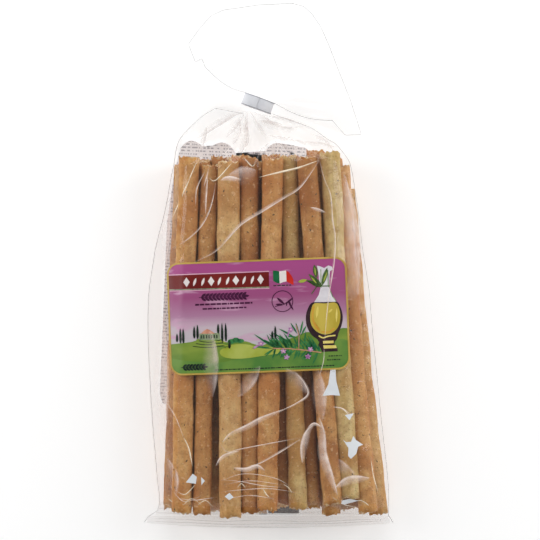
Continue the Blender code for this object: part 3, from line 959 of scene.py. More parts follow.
def stroke(points, width):
    """A line of one width through places."""
    left, right = [], []
    for k, (u, v) in enumerate(points):
        (u0, v0), (u1, v1) = points[max(k - 1, 0)], points[min(k + 1, len(points) - 1)]
        length = math.hypot(u1 - u0, v1 - v0)
        out = (-(v1 - v0) / length * width / 2, (u1 - u0) / length * width / 2)
        left.append((u + out[0], v + out[1]))
        right.append((u - out[0], v - out[1]))
    return right + left[::-1]


def hoop(u, v, half_u, half_v, width, start=0.0, end=2 * math.pi, count=32):
    """A round line, in short strokes that meet."""
    angles = [start + (end - start) * k / count for k in range(count + 1)]
    line = [(u + half_u * math.cos(a), v + half_v * math.sin(a)) for a in angles]
    return [stroke(line[k:k + 2], width) for k in range(count)]


def dashes(u0, u1, v, height, lengths, gap, seed):
    """A row of plain short marks where small print would be."""
    random.seed(seed)
    marks = []
    u = u0
    while u < u1:
        end = min(u + random.uniform(*lengths), u1)
        marks.append(bar(u, v, end, v + height))
        u = end + gap
    return marks


def gloss_print(name, colours, scale=70.0, stretch=(1.0, 1.0, 1.0)):
    """Printed ink under a gloss coat, which wanders between two colours."""
    material, principled = shader(name, 0.32)
    place = node(material, "ShaderNodeTexCoord").outputs["Object"]
    mapping = node(material, "ShaderNodeMapping")
    mapping.inputs["Scale"].default_value = stretch
    link(material, place, mapping.inputs["Vector"])
    wander = noise_band(material, mapping.outputs["Vector"], scale, 0.35, 0.65)
    link(material, blend_colours(material, wander, *colours), principled.inputs["Base Color"])
    principled.inputs["Specular IOR Level"].default_value = 0.3
    return material


def sky_print():
    """The label's ground: magenta that pales towards the horizon, with drifting pale clouds."""
    material, principled = shader("sky_print", 0.32)
    principled.inputs["Specular IOR Level"].default_value = 0.3
    place = node(material, "ShaderNodeTexCoord").outputs["Object"]
    upright = node(material, "ShaderNodeMapping", vector_type="TEXTURE")
    upright.inputs["Location"].default_value = (LABEL_MIDDLE.x, LABEL_MIDDLE.y, 0.0)
    upright.inputs["Rotation"].default_value = (0.0, 0.0, LABEL_TURN)
    link(material, place, upright.inputs["Vector"])
    parts = node(material, "ShaderNodeSeparateXYZ")
    link(material, upright.outputs["Vector"], parts.inputs["Vector"])
    height = node(material, "ShaderNodeMapRange")
    height.inputs["From Min"].default_value = -16 * MM
    height.inputs["From Max"].default_value = 32 * MM
    link(material, parts.outputs["Y"], height.inputs["Value"])
    fade = node(material, "ShaderNodeValToRGB")
    stops = fade.color_ramp.elements
    stops[0].position, stops[0].color = 0.04, linear(196, 190, 194)
    stops[1].position, stops[1].color = 1.0, linear(172, 78, 138)
    for position, colour in ((0.22, (202, 184, 194)), (0.36, (176, 126, 158)), (0.58, (158, 80, 126))):
        stop = stops.new(position)
        stop.color = linear(*colour)
    link(material, height.outputs["Result"], fade.inputs["Fac"])
    wide = node(material, "ShaderNodeMapping")
    wide.inputs["Scale"].default_value = (0.28, 1.6, 1.0)
    link(material, upright.outputs["Vector"], wide.inputs["Vector"])
    clouds_here = noise_band(material, wide.outputs["Vector"], 120.0, 0.57, 0.72, 4.0)
    clouded = blend_colours(material, clouds_here, fade.outputs["Color"], linear(206, 160, 188))
    link(material, clouded, principled.inputs["Base Color"])
    return material


def print_on_label(name, outlines, finish, layer):
    """Ink of one colour, a hair proud of the paper; a higher layer lies over a lower one."""
    proud = 0.02 * MM + INK * layer
    ink = thin_sheet(name, outlines, on_label, proud, proud + INK)
    ink.data.materials.append(finish)
    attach(ink, "root")


outer = round_rectangle(*LABEL_HALF, LABEL_CORNER)
label_sheet = thin_sheet("label_sheet", [outer], on_label, 0.0, PAPER)
label_sheet.data.materials.append(sky_print())
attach(label_sheet, "root")
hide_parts("front_label")

GOLD = gloss_print("gold_print", (linear(180, 146, 66), linear(204, 172, 88)))
BANNER = gloss_print("banner_print", (linear(104, 24, 24), linear(122, 34, 30)))
PALE = gloss_print("pale_print", (linear(226, 214, 214), linear(240, 232, 228)))
ROSE = gloss_print("rose_print", (linear(214, 160, 184), linear(228, 186, 200)))
PLUM = gloss_print("plum_print", (linear(62, 18, 52), linear(80, 28, 66)))
MEADOW = gloss_print("meadow_print", (linear(100, 134, 52), linear(134, 156, 64)), 60.0, (0.5, 1.6, 1.0))
DEEP_MEADOW = gloss_print("deep_meadow_print", (linear(80, 128, 58), linear(112, 148, 66)), 80.0)
SUN_MEADOW = gloss_print("sun_meadow_print", (linear(158, 170, 58), linear(178, 188, 92)), 90.0)
CYPRESS = gloss_print("cypress_print", (linear(20, 30, 30), linear(44, 62, 46)), 500.0)
STONE = gloss_print("stone_print", (linear(96, 118, 92), linear(160, 172, 132)), 420.0, (2.0, 0.4, 1.0))
ROOF = gloss_print("roof_print", (linear(196, 130, 104), linear(216, 160, 132)), 300.0)
NEEDLE = gloss_print("needle_print", (linear(30, 98, 62), linear(66, 134, 76)), 260.0)
OLIVE = gloss_print("olive_leaf_print", (linear(54, 80, 38), linear(92, 118, 62)), 300.0)
FLOWER = gloss_print("flower_print", (linear(158, 92, 150), linear(206, 168, 208)), 500.0)
OUTLINE_INK = gloss_print("flask_edge_print", (linear(42, 28, 34), linear(64, 44, 48)), 200.0)
OIL = gloss_print("oil_print", (linear(186, 164, 58), linear(206, 184, 82)), 110.0, (1.0, 0.5, 1.0))
AMBER = gloss_print("amber_print", (linear(206, 150, 58), linear(214, 172, 66)), 200.0)
GLEAM = gloss_print("gleam_print", (linear(226, 206, 104), linear(236, 220, 130)), 200.0)
GLASS = gloss_print("glass_print", (linear(214, 208, 214), linear(230, 226, 230)), 200.0)
LEAF_GREEN = gloss_print("flag_green_print", (linear(16, 92, 54), linear(26, 108, 64)), 200.0)
FLAG_RED = gloss_print("flag_red_print", (linear(196, 36, 26), linear(212, 50, 36)), 200.0)

# Border, in short lengths between the label's outline and an inner one
BORDER = 1.0
inner = round_rectangle(LABEL_HALF[0] - BORDER, LABEL_HALF[1] - BORDER, LABEL_CORNER - BORDER)
border = []
for k in range(len(outer)):
    m = (k + 1) % len(outer)
    border.append([outer[k], outer[m], inner[m], inner[k]])
print_on_label("print_border", border, GOLD, 4)

# Hillside: a far ridge, a sunny slope, and the near meadow down to the border
RIDGE_STEP = 1.5
HORIZON = (
    (-51.0, -14.4), (-46.2, -14.0), (-39.2, -13.4), (-34.6, -12.6), (-22.0, -13.4), (-18.0, -14.4),
    (-8.4, -14.1), (-3.3, -15.8), (0.9, -17.0), (5.0, -15.6), (8.4, -14.2), (13.7, -14.4),
    (19.5, -13.0), (24.7, -11.0), (28.5, -10.2), (32.2, -11.8), (38.0, -12.0), (44.3, -10.6),
    (47.6, -8.8), (51.0, -8.9),
)
foot_of_label = [p for p in inner if p[1] < 0]
meadow = foot_of_label + flowing(HORIZON, RIDGE_STEP)[::-1]
print_on_label("print_meadow", [meadow], MEADOW, 0)
NEAR_RIDGE = (
    (-51.0, -22.6), (-40.0, -24.6), (-26.0, -26.0), (-12.0, -24.0), (4.0, -21.0), (20.0, -22.5),
    (36.0, -19.0), (46.0, -15.0), (51.0, -16.0),
)
near_meadow = foot_of_label + flowing(NEAR_RIDGE, RIDGE_STEP)[::-1]
print_on_label("print_near_meadow", [near_meadow], DEEP_MEADOW, 1)
slope = [(-18.0, -16.4), (-12.0, -15.6), (-6.0, -16.2), (1.0, -18.2), (8.0, -18.2), (16.0, -21.0)]
slope += [(4.0, -22.6), (-10.0, -24.0), (-20.0, -23.0), (-23.0, -19.5)]
print_on_label("print_sunny_slope", [rounded(slope)], SUN_MEADOW, 2)

# Round house on a terraced mound, between clumps of cypress
mound = [(-39.5, -16.2), (-36.5, -12.8), (-34.5, -11.8), (-22.5, -12.2), (-19.7, -15.0), (-17.0, -17.2)]
mound += [(-24.0, -18.0), (-33.0, -17.6)]
print_on_label("print_mound", [rounded(mound)], MEADOW, 2)
terraces = []
for step, reach in ((0, 0.62), (1, 0.8), (2, 1.0)):
    centre_v = -12.9 - 1.5 * step
    line = [(-28.6 + 9.8 * reach * t, centre_v - 1.0 * (1 - t * t)) for t in (-1, -0.6, -0.2, 0.2, 0.6, 1)]
    terraces.append(stroke(line, 0.45))
print_on_label("print_terraces", terraces, CYPRESS, 3)
sunlit = [stroke([(-26.0, -13.8), (-22.0, -13.6), (-19.5, -14.4)], 0.5)]
sunlit.append(stroke([(-27.0, -15.6), (-22.0, -15.4), (-18.0, -16.4)], 0.5))
print_on_label("print_terrace_light", sunlit, SUN_MEADOW, 4)
print_on_label("print_house", [bar(-34.4, -12.6, -22.5, -8.7)], STONE, 3)
roof = [(-33.6, -8.9), (-25.4, -9.1), (-28.0, -7.0), (-29.8, -6.2), (-31.4, -7.0)]
print_on_label("print_house_roof", [roof], ROOF, 4)
windows = [bar(-33.6 + 1.5 * k, -11.7, -32.9 + 1.5 * k, -9.7) for k in range(7)]
print_on_label("print_house_arches", windows, CYPRESS, 4)
CYPRESSES = (
    (-47.4, -13.2, -8.2), (-45.4, -14.0, -5.2), (-43.7, -14.1, -5.3), (-37.3, -11.5, -4.3),
    (-35.4, -11.9, -3.5), (-23.4, -9.1, -3.4), (-21.2, -14.2, -2.9), (-19.1, -13.9, -3.0),
    (7.6, -13.5, -8.6), (9.4, -13.5, -5.8), (-17.2, -18.0, -12.8),
)
trees = []
for u, foot_v, top_v in CYPRESSES:
    trees.append(leaf((u, foot_v), (u + 0.1, top_v), 1.35))
    trees.append(oval(u, foot_v + 0.3 * (top_v - foot_v), 0.72, 0.3 * (top_v - foot_v), 12))
print_on_label("print_cypresses", trees, CYPRESS, 5)
hedge = [oval(u, v, a, b, 14) for u, v, a, b in (
    (-16.0, -13.9, 2.2, 1.4), (-13.4, -13.3, 2.2, 1.5), (-10.9, -13.8, 2.2, 1.2),
)]
print_on_label("print_hedge", hedge, NEEDLE, 3)

# Banner across the left, with a plain row of lozenges and leaves where a title would be
print_on_label("print_banner", [[(-51.0, 17.4), (6.9, 16.8), (7.1, 25.2), (-51.0, 25.2)]], BANNER, 1)
rules = [stroke([(-51.0, 25.6), (7.2, 25.6)], 0.5), stroke([(-50.8, 16.3), (7.0, 15.8)], 0.45)]
print_on_label("print_banner_rules", rules, ROSE, 2)
print_on_label("print_banner_shadow", [stroke([(-50.8, 17.0), (7.0, 16.5)], 0.55)], STONE, 2)
ornament = []
for k in range(10):
    u = -40.6 + 4.75 * k
    if k % 3 == 0:
        ornament.append([(u - 1.9, 21.1), (u, 18.3), (u + 1.9, 21.1), (u, 23.9)])
    else:
        ornament.append(leaf((u - 0.9, 18.6), (u + 0.9, 23.4), 1.5))
print_on_label("print_banner_ornament", ornament, PALE, 3)

# Ears of wheat where a name and a weight would be, and plain marks where the small print would be


def wheat_ear(u, v, length, reach):
    """An ear of wheat that lies along the label: a stem with pairs of grains and a last one."""
    pairs = round(length / reach * 1.7)
    ear = [stroke([(u, v), (u + length, v)], 0.35)]
    for k in range(1, pairs + 1):
        base = u + length * (k - 0.4) / pairs
        for side in (-1, 1):
            ear.append(leaf((base, v), (base + 0.8 * reach, v + side * 0.62 * reach), 0.42 * reach))
    return [*ear, leaf((u + length, v), (u + length + reach, v), 0.42 * reach)]


title = wheat_ear(-33.8, 12.0, 25.6, 3.6)
title += dashes(-36.1, -2.7, 7.4, 1.0, (0.7, 3.2), 0.45, 5)
title += dashes(-31.9, -6.6, 4.9, 0.9, (0.7, 3.0), 0.45, 6)
print_on_label("print_plain_marks", title, PLUM, 2)
weight = wheat_ear(-45.8, -28.0, 12.8, 3.1)
weight += dashes(-26.0, 43.0, -30.3, 0.6, (0.5, 2.4), 0.4, 7)
weight += dashes(39.6, 47.2, -24.8, 0.6, (0.5, 1.6), 0.4, 8)
weight += dashes(38.6, 46.6, -27.0, 0.6, (0.5, 1.6), 0.4, 9)
print_on_label("print_plain_marks_low", weight, CYPRESS, 4)

# Small tricolour with a pale cloud below it, and a plain ring
# place along, upper edge and lower edge
FIELDS = (
    (9.4, 25.9, 19.9), (11.2, 25.8, 18.8), (13.0, 25.3, 18.3), (15.0, 25.5, 19.1),
    (17.0, 25.7, 19.4), (18.6, 24.6, 18.4), (20.0, 22.6, 17.6), (21.0, 20.4, 17.2),
)
for name, first, last, finish in (
    ("print_field_green", 0, 2, LEAF_GREEN),
    ("print_field_white", 2, 4, PALE),
    ("print_field_red", 4, 7, FLAG_RED),
):
    part = FIELDS[first:last + 1]
    upper = [(u, top) for u, top, under in part]
    lower = [(u, under) for u, top, under in part]
    print_on_label(name, [lower + upper[::-1]], finish, 2)
print_on_label("print_field_marks", dashes(9.4, 20.0, 16.9, 0.6, (1.0, 2.4), 0.6, 12), CYPRESS, 2)
print_on_label("print_ring", hoop(14.2, 8.1, 6.0, 6.0, 0.45), PLUM, 2)
twig = [leaf((16.2, 6.6), (20.6, 10.0), 1.1), leaf((17.4, 8.0), (20.4, 2.6), 1.0)]
twig += [leaf((16.8, 7.6), (16.4, 5.2), 0.8), leaf((17.8, 8.4), (19.0, 6.0), 0.7)]
twig += [leaf((15.4, 6.2), (11.0, 10.4), 1.5), leaf((14.6, 6.0), (10.2, 6.4), 1.3)]
twig += [stroke([(9.8, 5.2), (15.0, 6.2), (18.4, 8.6)], 0.4)]
print_on_label("print_ring_leaves", twig, PLUM, 3)

# Flask of oil: a round glass body on a foot, a pale neck and a sprig of olive leaves
flask = rounded([
    (31.9, 6.8), (29.3, 4.4), (27.5, -0.5), (27.6, -6.2), (29.9, -11.5), (33.4, -14.6), (35.0, -16.2),
    (43.4, -16.2), (46.1, -10.9), (48.0, -6.3), (48.6, -1.3), (47.2, 4.1), (45.1, 6.7), (38.4, 6.6),
])
print_on_label("print_flask_edge", [flask], OUTLINE_INK, 2)
oil = rounded([
    (32.4, 6.0), (30.5, 2.2), (29.8, -2.0), (30.5, -6.5), (33.4, -10.2), (37.9, -12.0), (42.5, -11.0),
    (45.8, -7.7), (47.2, -2.7), (46.8, 2.3), (44.7, 6.0), (38.4, 5.9),
])
print_on_label("print_flask_oil", [oil], OIL, 3)
amber = [stroke(rounded([(32.4, 4.6), (31.2, -1.0), (32.4, -6.4), (35.2, -9.6), (31.9, -4.0)])[:22], 1.1)]
amber += [stroke(flowing([(36.0, -10.4), (40.4, -10.6), (43.6, -8.6)]), 0.9)]
print_on_label("print_flask_amber", amber, AMBER, 4)
gleam = [leaf((33.4, -2.4), (34.6, 4.6), 1.5), leaf((44.8, -5.4), (45.4, 3.2), 1.1)]
gleam += [leaf((40.4, 0.4), (42.8, 2.6), 1.2), bar(36.7, -17.2, 42.8, -15.7)]
gleam += [stroke(flowing([(34.3, -12.6), (36.8, -13.9), (39.7, -13.1), (44.0, -12.8)]), 0.8)]
gleam += [[(36.7, -18.2), (44.0, -18.4), (44.5, -20.1), (37.0, -20.1)]]
print_on_label("print_flask_gleam", gleam, GLEAM, 4)
foot = [(34.6, -16.0), (43.4, -16.0), (43.2, -18.0), (44.9, -20.2), (45.0, -22.0), (35.9, -22.0)]
foot += [(35.1, -19.8), (33.9, -17.8)]
print_on_label("print_flask_foot", [foot], OUTLINE_INK, 2)
neck = [(32.4, 6.8), (45.0, 6.6), (42.6, 11.0), (41.5, 14.8), (41.7, 19.7), (42.2, 24.3), (43.9, 25.2)]
neck += [(43.5, 26.8), (41.4, 27.7), (39.0, 26.2), (36.2, 27.5), (34.8, 27.8), (35.5, 24.0), (35.7, 20.6)]
neck += [(36.4, 14.6), (35.2, 10.8)]
print_on_label("print_flask_neck", [neck], GLASS, 3)
shade = [stroke([(36.8, 15.0), (37.0, 25.6)], 0.5), stroke([(41.0, 15.2), (41.0, 25.0)], 0.6)]
shade += [stroke([(42.0, 13.0), (43.2, 9.8), (45.2, 6.9)], 0.5)]
print_on_label("print_flask_shade", shade, STONE, 4)
sprig = [leaf((34.4, 20.6), (33.3, 28.4), 2.6), leaf((37.3, 16.0), (40.8, 26.4), 2.6)]
sprig += [leaf((37.6, 15.6), (29.8, 23.2), 2.6), leaf((37.0, 15.2), (29.1, 19.7), 2.3)]
sprig += [stroke([(28.5, 19.6), (34.1, 16.0), (42.4, 15.8)], 0.6), stroke([(34.2, 15.6), (31.1, 11.6)], 0.4)]
print_on_label("print_olive_sprig", sprig, OLIVE, 5)
pale_leaves = [leaf((28.9, 19.8), (23.6, 18.8), 1.9), leaf((34.4, 17.4), (31.2, 21.4), 0.9)]
pale_leaves += [leaf((38.2, 18.0), (40.6, 24.0), 0.8), leaf((33.8, 22.0), (33.6, 27.0), 0.7)]
print_on_label("print_pale_leaves", pale_leaves, SUN_MEADOW, 6)

# Rosemary in flower: a woody stem, needles fanned both ways and small lipped flowers
STEM = ((7.7, -18.8), (16.9, -19.3), (26.3, -20.6), (35.5, -22.3))
random.seed(31)
needles = []
for k in range(70):
    t = random.random() * 3
    a, b = STEM[min(int(t), 2)], STEM[min(int(t), 2) + 1]
    base = (a[0] + (b[0] - a[0]) * (t % 1), a[1] + (b[1] - a[1]) * (t % 1))
    up = random.random() < 0.6
    angle = math.radians(random.uniform(25, 150)) * (1 if up else -1)
    reach = random.uniform(4.5, 10.5) if up else random.uniform(3.5, 7.5)
    tip = (base[0] - 0.55 * reach + reach * 0.5 * math.cos(angle), base[1] + reach * math.sin(angle))
    if tip[0] < 34 or not up:
        needles.append(leaf(base, (tip[0], max(tip[1], -29.0)), random.uniform(0.7, 1.2)))
# the long needles that stand out from the rest: foot and tip
LONG_NEEDLES = (
    ((20.0, -12.6), (11.6, -7.6)), ((22.0, -11.0), (18.4, -4.4)), ((22.8, -10.6), (21.4, -4.6)),
    ((23.6, -11.4), (25.6, -3.4)), ((24.2, -12.0), (27.4, -6.4)), ((22.0, -13.0), (14.8, -11.8)),
    ((19.6, -16.8), (7.6, -9.8)), ((8.4, -18.6), (-2.9, -10.1)), ((7.6, -18.8), (-3.6, -17.4)),
    ((8.4, -19.2), (2.4, -22.4)), ((23.4, -18.2), (22.8, -8.6)), ((25.6, -19.0), (27.0, -9.6)),
)
needles += [leaf(base, tip, 1.0) for base, tip in LONG_NEEDLES]
print_on_label("print_rosemary_needles", needles, NEEDLE, 5)
stalk = [stroke([*STEM], 0.5), stroke([(22.6, -19.8), (23.0, -12.0), (21.6, -6.0)], 0.4)]
print_on_label("print_rosemary_stem", stalk, ROOF, 6)
petals = []
for u, v in ((0.9, -15.8), (13.7, -20.6), (29.2, -20.2), (27.7, -24.3), (15.4, -24.2), (18.4, -8.4)):
    for k in range(5):
        angle = 2 * math.pi * (k + 0.3 * math.sin(u)) / 5
        petals.append(leaf((u, v), (u + 1.9 * math.cos(angle), v + 1.7 * math.sin(angle)), 1.0))
petals += [leaf((0.0, -16.4), (-4.0, -18.6), 1.2), leaf((17.4, -9.0), (16.2, -13.0), 0.9)]
print_on_label("print_rosemary_flowers", petals, FLOWER, 7)
hearts = [oval(u, v, 0.6, 0.6, 8) for u, v in ((0.9, -15.8), (13.7, -20.6), (29.2, -20.2), (18.4, -8.4))]
print_on_label("print_flower_hearts", hearts, ROSE, 8)


# ---- Back label ----------------------------------------------------------------------------
# A thin white paper label under the pack, printed with rows of small print, here plain marks. It
# is wider than the sticks' heap, so its crumpled top and its left edge show from above.

BACK_LOW, BACK_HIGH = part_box("back_label")
BACK_MIDDLE = Vector(((BACK_LOW.x + BACK_HIGH.x) / 2 - 4.4 * MM, (BACK_LOW.y + BACK_HIGH.y) / 2 + 2.0 * MM))
BACK_TURN = math.radians(-2.4)
ROW_PITCH = 1.9 * MM


def under_pack(u, v, lift):
    """A place on the back label: flat under the pack, then up the bag's shoulder."""
    x = BACK_MIDDLE.x + (u * math.cos(BACK_TURN) - v * math.sin(BACK_TURN)) * MM
    y = BACK_MIDDLE.y + (u * math.sin(BACK_TURN) + v * math.cos(BACK_TURN)) * MM
    climb = max(0.0, (y - 66 * MM) / (12 * MM))
    ripple = 0.4 * MM * climb * math.sin(u * 0.35)
    return x, y, 0.45 * MM + 2.6 * MM * climb**2 + ripple * min(1.0, climb) + lift


def small_print():
    """White paper with rows of fine grey marks, the same on both of its faces."""
    material, principled = shader("small_print", 0.5)
    place = node(material, "ShaderNodeTexCoord").outputs["Object"]
    upright = node(material, "ShaderNodeMapping", vector_type="TEXTURE")
    upright.inputs["Location"].default_value = (BACK_MIDDLE.x, BACK_MIDDLE.y, 0.0)
    upright.inputs["Rotation"].default_value = (0.0, 0.0, BACK_TURN)
    link(material, place, upright.inputs["Vector"])
    parts = node(material, "ShaderNodeSeparateXYZ")
    link(material, upright.outputs["Vector"], parts.inputs["Vector"])
    rows = node(material, "ShaderNodeMath", operation="MULTIPLY")
    link(material, parts.outputs["Y"], rows.inputs[0])
    rows.inputs[1].default_value = 1 / ROW_PITCH
    row = node(material, "ShaderNodeMath", operation="FLOOR")
    link(material, rows.outputs[0], row.inputs[0])
    within = node(material, "ShaderNodeMath", operation="FRACT")
    link(material, rows.outputs[0], within.inputs[0])
    inked = node(material, "ShaderNodeMath", operation="LESS_THAN")
    link(material, within.outputs[0], inked.inputs[0])
    inked.inputs[1].default_value = 0.42
    spot = node(material, "ShaderNodeCombineXYZ")
    link(material, parts.outputs["X"], spot.inputs["X"])
    link(material, row.outputs[0], spot.inputs["Y"])
    word = node(material, "ShaderNodeTexNoise", in_Scale=1.0, in_Detail=1.0)
    stretch = node(material, "ShaderNodeMapping")
    stretch.inputs["Scale"].default_value = (900.0, 7.3, 1.0)
    link(material, spot.outputs["Vector"], stretch.inputs["Vector"])
    link(material, stretch.outputs["Vector"], word.inputs["Vector"])
    marked = node(material, "ShaderNodeMath", operation="GREATER_THAN")
    link(material, word.outputs["Fac"], marked.inputs[0])
    marked.inputs[1].default_value = 0.50
    both = node(material, "ShaderNodeMath", operation="MULTIPLY")
    link(material, inked.outputs[0], both.inputs[0])
    link(material, marked.outputs[0], both.inputs[1])
    paper = blend_colours(material, both.outputs[0], linear(240, 236, 238), linear(172, 168, 175))
    link(material, paper, principled.inputs["Base Color"])
    return material


# crumples along the head edge: left end, right end and rise
CRUMPLES = (
    (29.5, 41.5, 7.6), (12.0, 29.5, 9.4), (-3.0, 12.0, -9.0), (-21.0, -3.0, 8.2), (-37.5, -21.0, 8.6),
)
crumpled_top = []
for left_u, right_u, rise in CRUMPLES:
    for k in range(8):
        arch = rise * math.sin(math.pi * (k + 0.3) / 8) ** 0.6  # a negative rise is a dip
        crumpled_top.append((right_u + (left_u - right_u) * k / 8, 70.0 + arch))
left_and_foot = [(-38.4, 60.0), (-41.5, 30.0), (-41.5, -70.0), (-39.8, -75.6), (-35.5, -77.5)]
foot_and_right = [(35.5, -77.5), (40.0, -75.4), (41.5, -71.5)]
back_outline = left_and_foot + foot_and_right + crumpled_top
back_label = thin_sheet("back_label_sheet", [back_outline], under_pack, 0.0, 0.14 * MM, 2.0)
back_label.data.materials.append(small_print())
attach(back_label, "root")
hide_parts("back_label")


# ---- Date patch ----------------------------------------------------------------------------
# A small dark printed field on the film at the foot, scuffed by the seal, with a paler grey
# patch beside it.

DATE_LOW, DATE_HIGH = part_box("date_label")
DATE_MIDDLE = (DATE_LOW + DATE_HIGH) / 2


def on_foot(u, v, lift):
    """A place in the date patch, behind the clear foot of the bag."""
    return DATE_MIDDLE.x + u * MM, DATE_MIDDLE.y + v * MM, 1.0 * MM + lift


date_finish = plain_tone("date_ink", linear(44, 44, 50), linear(86, 86, 92), 0.5, 300.0)
date_field = thin_sheet("date_field", [bar(-8.6, -3.6, 9.4, 1.0)], on_foot, 0.1 * MM, 0.1 * MM, 2.0)
date_field.data.materials.append(date_finish)
patch_finish = plain_tone("date_paper", linear(176, 174, 180), linear(206, 204, 208), 0.5, 700.0)
date_patch = thin_sheet("date_patch", [bar(-14.0, -4.4, -9.2, 1.2)], on_foot, 0.1 * MM, 0.1 * MM, 2.0)
date_patch.data.materials.append(patch_finish)
for piece in (date_field, date_patch):
    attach(piece, "root")
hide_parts("date_label")


# ---- Folds in the film ---------------------------------------------------------------------
# Where the film is pulled tight it stands up in small sharp folds. Each fold is a pinched ribbon of the
# same film, white along its length: partly the crease's own whiteness, partly a painted highlight, and
# on the shoulder gathers a painted shade. Flat patches where facets would catch the lamps are white
# with a painted highlight.


# place across a fold from its soft side to its sharp side, and how strong its painted highlight is there
FOLD_HIGHLIGHT_PROFILE = np.array(((-1.0, 0.0), (-0.4, 0.22), (0.2, 0.42), (0.72, 1.0), (1.0, 0.2)))


def pinch(points, width, rise=0.30):
    """Rings of one fold along places on the front film, tapered at both ends."""
    line = smooth_line(points)
    rings = []
    for k, place in enumerate(line):
        ahead = line[min(k + 1, len(line) - 1)] - line[max(k - 1, 0)]
        across = Vector((-ahead.y, ahead.x)).normalized()
        share = k / (len(line) - 1)
        half = width / 2 * max(0.12, math.sin(math.pi * (0.03 + 0.94 * share)) ** 0.8)
        top, low = [], []
        for out in FOLD_HIGHLIGHT_PROFILE[:, 0]:
            x, y = (place + across * out * half) * MM
            surface = cover_height(x, y)
            ridge = rise * MM * (1 - abs(out)) * min(1.0, half)
            top.append((x, y, surface + 0.14 * MM + ridge))
            low.append((x, y, surface + 0.06 * MM))
        rings.append(top + low[::-1])
    return rings


def cover_height(x, y):
    """Height of whatever the fold lies on: the film, or the label stuck over it."""
    du, dv = (x - LABEL_MIDDLE.x) / MM, (y - LABEL_MIDDLE.y) / MM
    u = du * math.cos(LABEL_TURN) + dv * math.sin(LABEL_TURN)
    v = -du * math.sin(LABEL_TURN) + dv * math.cos(LABEL_TURN)
    if abs(u) < LABEL_HALF[0] and abs(v) < LABEL_HALF[1]:
        return on_label(u, v, 0.35 * MM)[2]
    return float(film_height(np.array([x]), np.array([y]))[0])


# folds, each with its width and the places it runs through, in mm of the frame; their white is painted light
BRIGHT_FOLDS = (
    (0.8, (-40.9, 60.8), (-48.4, 43.4), (-56.5, 26.0)),
    (1.0, (-5.5, 50.3), (6.7, 53.2), (18.3, 56.1), (29.3, 60.2)),
    (0.8, (-49.0, -99.3), (-46.1, -105.7), (-43.8, -116.1)),
    (0.6, (58.9, -110.3), (60.6, -121.9), (63.5, -131.8)),
    (0.6, (-53.1, -130.6), (-47.8, -132.4), (-42.0, -126.6)),
    (0.5, (36.2, -133.4), (44.0, -138.8), (52.0, -140.2)),
    (0.5, (48.4, -136.4), (54.2, -136.4), (60.0, -141.1), (63.5, -144.5)),
    (0.6, (-34.5, 50.3), (-30.4, 48.6), (-20.6, 59.0)),
    (0.5, (-14.8, 62.5), (-9.6, 56.7), (-7.2, 59.0)),
    (0.5, (-18.0, -128.6), (-15.6, -126.0), (-13.0, -128.8)),
    (0.7, (-3.4, -128.6), (-1.4, -132.0), (0.6, -134.0)),
    (0.7, (8.4, -126.2), (11.6, -128.6), (13.6, -131.6)),
    (0.4, (-57.0, -135.6), (-50.0, -138.8), (-44.4, -134.8), (-38.0, -138.8)),
    (0.4, (-42.0, -139.6), (-36.4, -136.0), (-31.6, -140.2)),
    (0.6, (-58.6, -134.8), (-52.0, -139.6), (-44.0, -141.6)),
    (0.5, (41.4, -82.0), (44.4, -84.6), (46.6, -88.0)),
)
